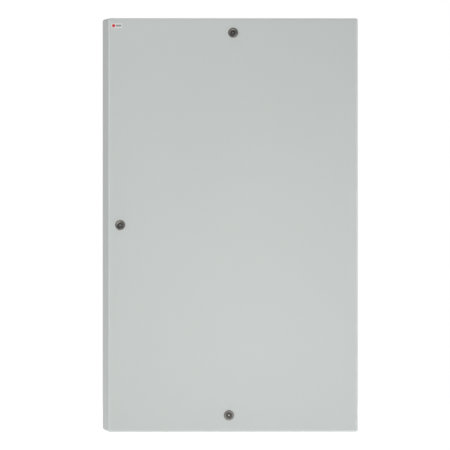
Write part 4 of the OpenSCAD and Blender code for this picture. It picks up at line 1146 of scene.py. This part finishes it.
class CABINET_OT_wires(bpy.types.Operator):
    """Wires from the ducts to the devices, each bowed a little, with end sleeves"""

    bl_idname = "cabinet.wires"
    bl_label = "Device wires"

    def execute(self, context):
        s = context.scene.cabinet_wires
        boxes = solids("device_wires")
        ducts = np.concatenate([b[:, 2] for b in solids("wiring_ducts")])
        radius = (boxes[:, 1, 0] - boxes[:, 0, 0]) / 2
        middle = boxes.mean(axis=1)
        low, high = boxes[:, 0, 2], boxes[:, 1, 2]
        up = np.abs(high[:, None] - ducts).min(axis=1) < 3 * MM
        # a wire bows sideways and forwards by the squared sine along it, and every
        # wire by another share, which sines of its number give
        number = np.arange(len(boxes))
        bow = s.slack * MM * np.stack([np.sin(number * 2.4), -1.6 * np.abs(np.cos(number * 1.7))
                                       - 0.6, 0 * number], 1)
        t = np.linspace(0, 1, 14)
        path = np.repeat(middle[:, None, :], len(t), axis=1)
        path[..., 2] = low[:, None] + (high - low)[:, None] * t
        path += np.sin(pi * t)[None, :, None] ** 2 * bow[:, None, :]
        path[..., 0] += 0.4 * s.slack * MM * (np.sin(2 * pi * t)
                                              * np.cos(number * 3.1)[:, None])
        shape = Shape()
        thick, black = 1.3 * MM, 2
        kinds = np.where(radius > thick, black, number % len(WIRE_TINTS))
        for size in np.unique(np.round(radius, 5)):
            for kind in np.unique(kinds):
                pick = (kinds == kind) & (np.abs(radius - size) < 1e-5)
                if pick.any():
                    shape.tube(swept(path[pick], ring_section(size, s.sides), (0, -1, 0.01)),
                               tint=WIRE_TINTS[kind])
        end = np.where(up, low, high)
        sign = np.where(up, 1, -1)
        for way in (1, -1):
            pick = sign == way
            at = middle[pick].copy()
            at[:, 2] = end[pick]
            for size in np.unique(np.round(radius[pick], 5)):
                same = np.abs(radius[pick] - size) < 1e-5
                r = size / MM
                sleeve = [(r - 0.2, 0), (r + 0.35, 0), (r + 0.35, 3.2), (r + 0.8, 6.8),
                          (r + 0.75, 7.2), (r - 0.2, 7.2)]
                shape.ring(turned(sleeve, at[same], "+Z" if way > 0 else "-Z", 12),
                           tint=(0.5, 0.5, 0.48))
        shape.piece("bowed_wires", "cabinet", "blue_insulation", tint_plastic(),
                    replaces=("device_wires",))
        return {"FINISHED"}


class CABINET_OT_batteries(bpy.types.Operator):
    """Battery lids, vent plugs, labels, terminal nuts, boots and leads"""

    bl_idname = "cabinet.batteries"
    bl_label = "Batteries"

    def execute(self, context):
        cases, posts = solids("battery_cases"), solids("battery_posts")
        trims, labels = Shape(), Shape()
        for low, high in cases:
            size, mid = (high - low) / MM, (low + high) / 2
            top = np.array([mid[0], mid[1], high[2]])
            seam = [(-0.6, -17.0), (0.7, -16.6), (0.7, -14.4), (-0.6, -14.0)]
            trims.ring(framed(size[0], size[1], 3.0, seam, top, "+Z"), tint=(0.05, 0.052, 0.056))
            plugs, reach, behind = 6, 0.36, 12 * MM
            x = np.linspace(-reach, reach, plugs) * size[0] * MM
            vents = np.stack([mid[0] + x, np.full(plugs, mid[1] + behind),
                              np.full(plugs, high[2])], 1)
            cap = [(0, -0.2), (7.6, -0.2), (7.6, 0.9), (7.0, 1.5), (3.4, 1.5), (3.0, 1.0),
                   (0, 1.0)]
            trims.form(turned(cap, vents, "+Z", 28), tint=(0.09, 0.092, 0.096))
            plate = [0.66 * size[0], 52.0, 0.5]
            front = np.array([mid[0], low[1], low[2] + 49 * MM])
            labels.form(slab(plate, 2.0, 0.2, front), tint=(0.56, 0.565, 0.55))
            # bars on the label: height of the place, share of the width, height, tint
            for dz, w, h, tint in ((19.5, 1.0, 9.0, (0.03, 0.09, 0.26)),
                                   (6.0, 0.62, 2.4, (0.06, 0.06, 0.065)),
                                   (-1.0, 0.5, 1.6, (0.12, 0.12, 0.125)),
                                   (-7.0, 0.56, 1.6, (0.12, 0.12, 0.125))):
                at = front + np.array([0, -0.5, dz]) * MM
                labels.form(slab((w * plate[0] - 4, h, 0.15), 0.6, 0.05, at), tint=tint)
        trims.piece("battery_trims", "cabinet", "battery_plastic", tint_plastic())
        labels.piece("battery_labels", "cabinet", "label_film", tint_plastic())

        metal = Shape()
        tops = posts.mean(axis=1)
        tops[:, 2] = posts[:, 1, 2]
        bore, thick = 3.05, 0.9
        seat = tops - np.array([0, 0, 6.0 * MM])
        washer = [(bore, 0), (8.0, 0), (8.2, 0.3), (8.0, thick), (bore, thick)]
        metal.ring(turned(washer, seat, "+Z", 32))
        metal.ring(hex_nuts(seat + np.array([0, 0, thick * MM]), "+Z", 10.0, 4.4, bore))
        metal.piece("battery_nuts", "cabinet", "zinc_plated", plate_metal(), sharp=30)
        self.leads(tops)
        return {"FINISHED"}

    @staticmethod
    def leads(tops):
        """Outer leads run over the batteries into the side duct, the link joins the
        inner posts; each end sits in a soft boot."""
        radius = 2.4 * MM
        red, black = (0.46, 0.022, 0.018), (0.014, 0.014, 0.015)
        shape = Shape()
        for low, high in solids("battery_leads"):
            link = high[0] - low[0] < 100 * MM
            if link:
                y, z, rise = tops[1, 1], high[2] - radius, 1.2 * MM
                path = [(tops[1, 0], y, z), (0.4 * tops[1, 0], y, z + rise),
                        (0.4 * tops[2, 0], y, z + rise), (tops[2, 0], y, z)]
                tint = (0.03, 0.03, 0.032)
            else:
                left = high[0] < 0
                post = tops[0] if left else tops[-1]
                z = post[2] + (4.1 * MM if left else 10.1 * MM)
                duct_x, duct_y = low[0] + radius, high[1] - radius
                path = [(post[0], post[1], z), (post[0] - 0.02, post[1] + 0.001, z),
                        (duct_x + 0.03, duct_y - 0.018, z), (duct_x, duct_y - 0.002, z + 0.002),
                        (duct_x, duct_y, high[2] - 0.012), (duct_x, duct_y, high[2])]
                tint = red if left else black
            line = smooth_path(even(path, 26), 1)
            level = abs(line[0][2] - line[-1][2]) < 1 * MM
            reference = (0.13, 0.31, 1.0) if level else (0.05, -1.0, 0.2)
            shape.tube(swept(line, ring_section(radius, 14), reference), tint=tint)
        for i, at in enumerate(tops):
            tall = 18.5 + (6.0 if i == len(tops) - 1 else 0.0)
            foot = at + np.array([0, 0, -9.3 * MM])
            levels = [(20, 20, 6, 0), (20, 20, 6, 1.2), (17, 17, 6, 2.2), (16, 16, 6, tall - 3),
                      (14.4, 14.4, 5.4, tall - 0.9), (11.5, 11.5, 4.5, tall)]
            shape.form(lofted(levels, foot, "+Z", 7),
                       tint=red if i in (0, len(tops) // 2) else black)
        shape.piece("battery_wiring", "cabinet", "red_insulation", tint_plastic(),
                    replaces=("battery_leads",))


class CABINET_OT_earthing(bpy.types.Operator):
    """Braided earth strap with ring lugs and nuts on both studs"""

    bl_idname = "cabinet.earthing"
    bl_label = "Earth strap"

    def execute(self, context):
        route = np.array(STRAP_ROUTE) * MM
        path = smooth_path(route, 3)
        steps = len(path)
        across = np.linspace(0, 2 * pi, 28, endpoint=False)[None, :]
        run = np.linspace(0, steps * 0.9, steps)[:, None]
        weave = 1 + 0.09 * np.sin(7 * across + run) * np.sin(7 * across - run)
        section = np.stack([1.2 * np.sin(across) * weave, 2.3 * np.cos(across) * weave], -1) * MM
        shape = Shape().tube(swept(path, section, (0.83, -0.55, 0.1)))
        strap = shape.piece("braided_strap", "cabinet", "strap_copper", braid("tinned_braid"),
                            sharp=70, replaces=("earth_strap",), ride=False)
        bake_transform(strap)
        for name, body, node, way, inner in (
                ("strap_lug_door", "door", "door_stud", "+Y", route[0]),
                ("strap_lug_cabinet", "cabinet", "earth_stud", "-X", route[-1])):
            low, high = box_of(node)
            middle = (low + high) / 2
            axis = 1 if way == "+Y" else 0
            seat = middle.copy()
            seat[axis] = inner[axis] - 0.9 * MM if way == "+Y" else inner[axis] + 0.9 * MM
            lug = Shape()
            lug.ring(turned([(3.2, 0), (6.2, 0), (6.4, 0.3), (6.2, 1.6), (3.2, 1.6)], seat, way,
                            28))
            nut = seat.copy()
            nut[axis] += 1.6 * MM if way == "+Y" else -1.6 * MM
            lug.ring(hex_nuts(nut, way, 10.0, 4.0, 3.1))
            lug.piece(name, body, "zinc_plated", plate_metal(), sharp=30)
        return {"FINISHED"}


class CABINET_OT_control_unit(bpy.types.Operator):
    """Display frame, legend bars, cover screws and dished key caps"""

    bl_idname = "cabinet.control_unit"
    bl_label = "Control unit"

    def execute(self, context):
        cover = box_of("control_unit_cover")
        face = cover[0][1]
        mid = cover.mean(axis=0)
        window = solids("display_module")
        window = window[np.argmin(window[:, 0, 1])]
        at = front_of(window, face)
        w, _, h = (window[1] - window[0]) / MM
        frame_section = [(0.0, -0.1), (0.2, 1.0), (0.9, 1.5), (3.6, 1.5), (4.4, 0.9), (4.6, -0.1)]
        dark, light = Shape(), Shape()
        dark.ring(framed(w + 0.4, h + 0.4, 1.6, frame_section, at))
        band = at + np.array([0, 0, -(h / 2 + 12) * MM])
        for low, high in solids("indicator_lamps"):
            spot = front_of((low, high), face)
            ring = [(2.65, -0.1), (2.65, 0.5), (3.1, 0.9), (3.7, 0.7), (4.0, -0.1)]
            dark.ring(turned(ring, spot, steps=32))
            dark.form(slab((9, 1.1, 0.08), 0.4, 0.03, spot + np.array([0, 0, -7.2 * MM])))
        dark.form(slab((w * 0.55, 1.6, 0.08), 0.6, 0.03, band))
        for key in ("silence", "reset", "test"):
            low, high = box_of("button_" + key)
            spot = front_of((low, high), face)
            size = (high[0] - low[0]) / MM
            dark.form(slab((size * 0.75, 1.2, 0.08), 0.5, 0.03,
                           spot + np.array([0, 0, -(size / 2 + 4.5) * MM])))
            rim = [(0.6, -0.1), (0.8, 0.5), (1.4, 0.7), (2.2, 0.5), (2.4, -0.1)]
            light.ring(framed(size - 3, size - 3, 2.0, rim, spot))
        dark.piece("panel_frames", "cabinet", "dark_plastic", dark_plastic())
        offset = (cover[1] - cover[0]) / 2 - 12 * MM
        spots = np.array([(mid[0] + sx * offset[0], face, mid[2] + sz * offset[2])
                          for sx in (-1, 1) for sz in (-1, 1)])
        light.ring(turned([(3.6, -0.1), (3.6, 0.35), (4.2, 0.6), (5.0, 0.35), (5.2, -0.1)], spots,
                          steps=32))
        louvres, left, first, pitch = 9, 121.5 * MM, 45 * MM, 4.5 * MM
        for i in range(louvres):
            place = np.array([mid[0] - left, face, mid[2] - first - pitch * i])
            light.form(slab((14, 2.2, 1.1), 1.0, 0.5, place))
        light.piece("panel_mouldings", "cabinet", "light_plastic", light_plastic())
        Shape().form(pan_heads(spots, "-Y", 3.3, 1.3, steps=32)).piece(
            "panel_cover_screws", "cabinet", "zinc_plated", plate_metal())
        self.key_caps()
        return {"FINISHED"}

    @staticmethod
    def key_caps():
        """A square cap with soft corners whose face dips in the middle, on a wider skirt."""
        tints = {"silence": (0.62, 0.40, 0.02), "reset": (0.07, 0.075, 0.08),
                 "test": (0.07, 0.075, 0.08)}
        for key, tint in tints.items():
            low, high = box_of("button_" + key)
            skirt, deep = (high[0] - low[0]) / MM, (high[1] - low[1]) / MM
            cap = skirt - 3
            back = front_of((low, high), high[1])
            levels = [(skirt, skirt, 1.0, 0), (skirt, skirt, 1.0, 2), (cap, cap, 2.0, 2),
                      (cap, cap, 2.0, deep - 0.9), (cap - 0.5, cap - 0.5, 1.8, deep - 0.3),
                      (cap - 1.4, cap - 1.4, 1.6, deep), (cap * 0.72, cap * 0.72, 1.5, deep - 0.3),
                      (cap * 0.4, cap * 0.4, 1.0, deep - 0.5), (0.6, 0.6, 0.2, deep - 0.55)]
            Shape().form(lofted(levels, back, "-Y", 6), tint=tint).piece(
                "key_cap_" + key, key + "_key",
                "yellow_plastic" if key == "silence" else "dark_plastic", tint_plastic(),
                replaces=("button_" + key,))


class CABINET_OT_devices(bpy.types.Operator):
    """Screws, marker tags, lamps and labels of the rail devices"""

    bl_idname = "cabinet.devices"
    bl_label = "Rail devices"

    def execute(self, context):
        screws, tags = Shape(), Shape()
        self.terminals(screws, tags)
        self.modules(tags)
        self.plugs(screws, "loop_module_plugs", 8, 0.0, 2.0, 2.05, "slot")
        self.plugs(screws, "power_supply_terminals", 9, 14.0, 3.0, 2.35, "cross")
        self.breakers(screws, tags)
        bar = solids("earth_bar")
        heads = fronts(bar[(bar[:, 1, 0] - bar[:, 0, 0]) < 20 * MM])
        screws.form(pan_heads(heads, "-Y", 3.5, 0.9, "slot", 28))
        self.supply(screws, tags)
        screws.piece("device_screws", "cabinet", "zinc_plated", plate_metal(), sharp=45)
        tags.piece("device_tags", "cabinet", "label_film", tint_plastic())
        return {"FINISHED"}

    @staticmethod
    def terminals(screws, tags):
        """Two sloping clamp screws and a marker tag on each terminal block."""
        screw_level, screw_offset = 33.5 * MM, 16.5 * MM
        blocks = solids("terminal_blocks")
        middle = blocks.mean(axis=1)
        for way, sign in (("UP", 1), ("DOWN", -1)):
            at = middle.copy()
            at[:, 1] = box_of("mounting_plate")[0][1] - screw_level
            at[:, 2] += sign * screw_offset
            screws.form(pan_heads(at, way, 2.0, 0.9, "slot", 16))
        tag = middle.copy()
        tag[:, 1] = blocks[:, 0, 1]
        width = (blocks[0][1][0] - blocks[0][0][0]) / MM
        tags.form(slab((width - 0.8, 7.6, 0.7), 0.6, 0.25, tag, arc=3), tint=PAPER)

    @staticmethod
    def modules(tags):
        """A label sunk in each loop module's face, with bars for lines of print (across,
        up, width, height, tint), a pale square and three lamps."""
        for low, high in solids("loop_modules"):
            width = (high[0] - low[0]) / MM
            label = front_of((low, high)) + np.array([0, 0.8 * MM, 0])
            tags.form(slab((width - 17.4, 38.6, 0.3), 0.8, 0.1, label), tint=PAPER)
            for dx, dz, w, h, tint in ((0, 15.5, width - 19, 5.6, (0.42, 0.03, 0.025)),
                                       (-10, 6, 42, 1.4, INK), (-16, 1.5, 30, 1.2, INK),
                                       (-13, -3, 36, 1.2, INK),
                                       (24, -8, 15, 11, (0.5, 0.51, 0.5))):
                at = label + np.array([dx, -0.3, dz]) * MM
                tags.form(slab((w, h, 0.1), 0.5, 0.04, at), tint=tint)
            dome = [(0, 0), (1.5, 0), (1.5, 0.5), (1.1, 1.1), (0.5, 1.4), (0, 1.5)]
            for k, tint in enumerate((GREEN, GREEN, (0.62, 0.33, 0.03))):
                lamp = label + np.array([-26 + 8 * k, -0.3, -12]) * MM
                tags.form(turned(dome, lamp, steps=18), tint=tint)

    @staticmethod
    def plugs(screws, node, count, ends, deep, radius, drive):
        """A row of sunk screws across each connector, less the width of its two ends."""
        for low, high in solids(node):
            pitch = ((high[0] - low[0]) / MM - ends) / (count if ends == 0 else count - 1)
            x = (np.arange(count) - (count - 1) / 2) * pitch * MM
            at = front_of((low, high)) + np.stack([x, np.full(count, deep * MM), 0 * x], 1)
            screws.form(pan_heads(at, "-Y", radius, 0.9, drive, 20))

    @staticmethod
    def breakers(screws, tags):
        """Two clamp screws, a green flag and a blue label on each pole."""
        screw_level, screw_offset, pole = 39.0 * MM, 33 * MM, 18 * MM
        for node in ("mains_breaker", "battery_breaker"):
            low, high = box_of(node)
            poles = int(round((high[0] - low[0]) / pole))
            x = low[0] + (np.arange(poles) + 0.5) * (high[0] - low[0]) / poles
            y, z = box_of("mounting_plate")[0][1] - screw_level, (low[2] + high[2]) / 2
            for sign in (-1, 1):
                at = np.stack([x, np.full(poles, y), np.full(poles, z)], 1)
                at[:, 2] += sign * screw_offset
                screws.form(pan_heads(at, "-Y", 2.7, 1.0, "cross", 24))
            for spot in x:
                at = np.array([spot, low[1], z - 17.2 * MM])
                tags.form(slab((9, 4.2, 0.25), 0.5, 0.1, at), tint=GREEN)
                at = np.array([spot, low[1], z + 16.5 * MM])
                tags.form(slab((13, 4.6, 0.15), 0.6, 0.05, at), tint=(0.03, 0.10, 0.34))

    @staticmethod
    def supply(screws, tags):
        """The power supply's lamp, trimmer and four case screws."""
        low, high = box_of("power_supply_case")
        front, half = front_of((low, high)), (high[0] - low[0]) / 2
        column, screw_inset = half - 12.5 * MM, 6 * MM
        dome = [(0, -0.1), (2, -0.1), (2, 0.6), (1.5, 1.4), (0.7, 1.9), (0, 2.0)]
        tags.form(turned(dome, front + np.array([column, 0, 14 * MM]), steps=20), tint=GREEN)
        trimmer = front + np.array([column, 0, -4 * MM])
        screws.form(pan_heads(trimmer, "-Y", 3.0, 0.8, "cross", 28))
        corners = np.array([front + np.array([sx * (half - screw_inset), 0, sz * 34 * MM])
                            for sx in (-1, 1) for sz in (-1, 1)])
        screws.form(pan_heads(corners, "-Y", 2.6, 1.2, "cross", 24))


class CABINET_OT_papers(bpy.types.Operator):
    """Folded drawings in the door's pocket"""

    bl_idname = "cabinet.papers"
    bl_label = "Pocket papers"

    def execute(self, context):
        low, high = box_of("document_pocket")
        middle = (low + high) / 2
        first, apart, foot, thick = 5.5, 3.2, 5 * MM, 0.5 * MM
        drawings = ((206, 22, 0, (0.74, 0.74, 0.71)), (200, 15, 1.5, (0.60, 0.63, 0.66)),
                    (204, 9, -2, (0.72, 0.70, 0.60)))
        shape = Shape()
        for i, (width, rise, shift, tint) in enumerate(drawings):
            height = (high[2] - low[2]) / MM - 12 + rise
            x, z = np.meshgrid(np.linspace(-width / 2, width / 2, 15) + shift,
                               np.linspace(0, height, 9), indexing="ij")
            shape.tube(self.sheet(x, z, 0.7 * np.sin(x * 0.03 + i) * (z / height) ** 2, thick)
                       + np.array([middle[0], low[1] + (first + apart * i) * MM,
                                   low[2] + foot]), tint=tint)
        shape.piece("pocket_papers", "door", "label_film",
                    made_once("paper_stock", tinted, (0.7, 0.85), 500.0, 0.03))
        return {"FINISHED"}

    @staticmethod
    def sheet(x, z, wave, thick):
        """A sheet whose depth waves as the sine of x and grows as the square of its
        height, with a back parallel to it; both sides are drawn together at the ends."""
        front = np.stack([x, wave, z], -1) * MM
        back = front + np.array([0, thick, 0])
        loop = np.concatenate([front, back[:, ::-1]], axis=1)
        ends = 0.5 * (loop + loop[:, ::-1])
        return np.concatenate([ends[:1], loop, ends[-1:]], axis=0)


OPERATORS = [CABINET_OT_studio, CABINET_OT_coat, CABINET_OT_metals, CABINET_OT_mouldings,
             CABINET_OT_locks, CABINET_OT_seals, CABINET_OT_fasteners, CABINET_OT_wires,
             CABINET_OT_batteries, CABINET_OT_earthing, CABINET_OT_control_unit,
             CABINET_OT_devices, CABINET_OT_papers]


class CABINET_PT_pieces(bpy.types.Panel):
    """Lists the cabinet's pieces and their sizes"""

    bl_label = "Fire alarm cabinet"
    bl_idname = "CABINET_PT_pieces"
    bl_space_type = "VIEW_3D"
    bl_region_type = "UI"
    bl_category = "Cabinet"

    def draw(self, context):
        for key in SETTINGS:
            group = getattr(context.scene, key)
            box = self.layout.box()
            for name in group.bl_rna.properties.keys():
                if name not in ("rna_type", "name"):
                    box.prop(group, name)
        for operator in OPERATORS:
            self.layout.operator(operator.bl_idname)


SETTINGS = {"cabinet_studio": StudioSettings, "cabinet_coat": CoatSettings,
            "cabinet_locks": LockSettings, "cabinet_wires": WireSettings}


def register():
    for cls in (*SETTINGS.values(), *OPERATORS, CABINET_PT_pieces):
        bpy.utils.register_class(cls)
    for key, cls in SETTINGS.items():
        setattr(bpy.types.Scene, key, PointerProperty(type=cls))


def unregister():
    for key in SETTINGS:
        delattr(bpy.types.Scene, key)
    for cls in reversed((*SETTINGS.values(), *OPERATORS, CABINET_PT_pieces)):
        bpy.utils.unregister_class(cls)


def main():
    register()
    for operator in OPERATORS:
        group, name = operator.bl_idname.split(".")
        getattr(getattr(bpy.ops, group), name)()


if __name__ == "__main__":
    main()
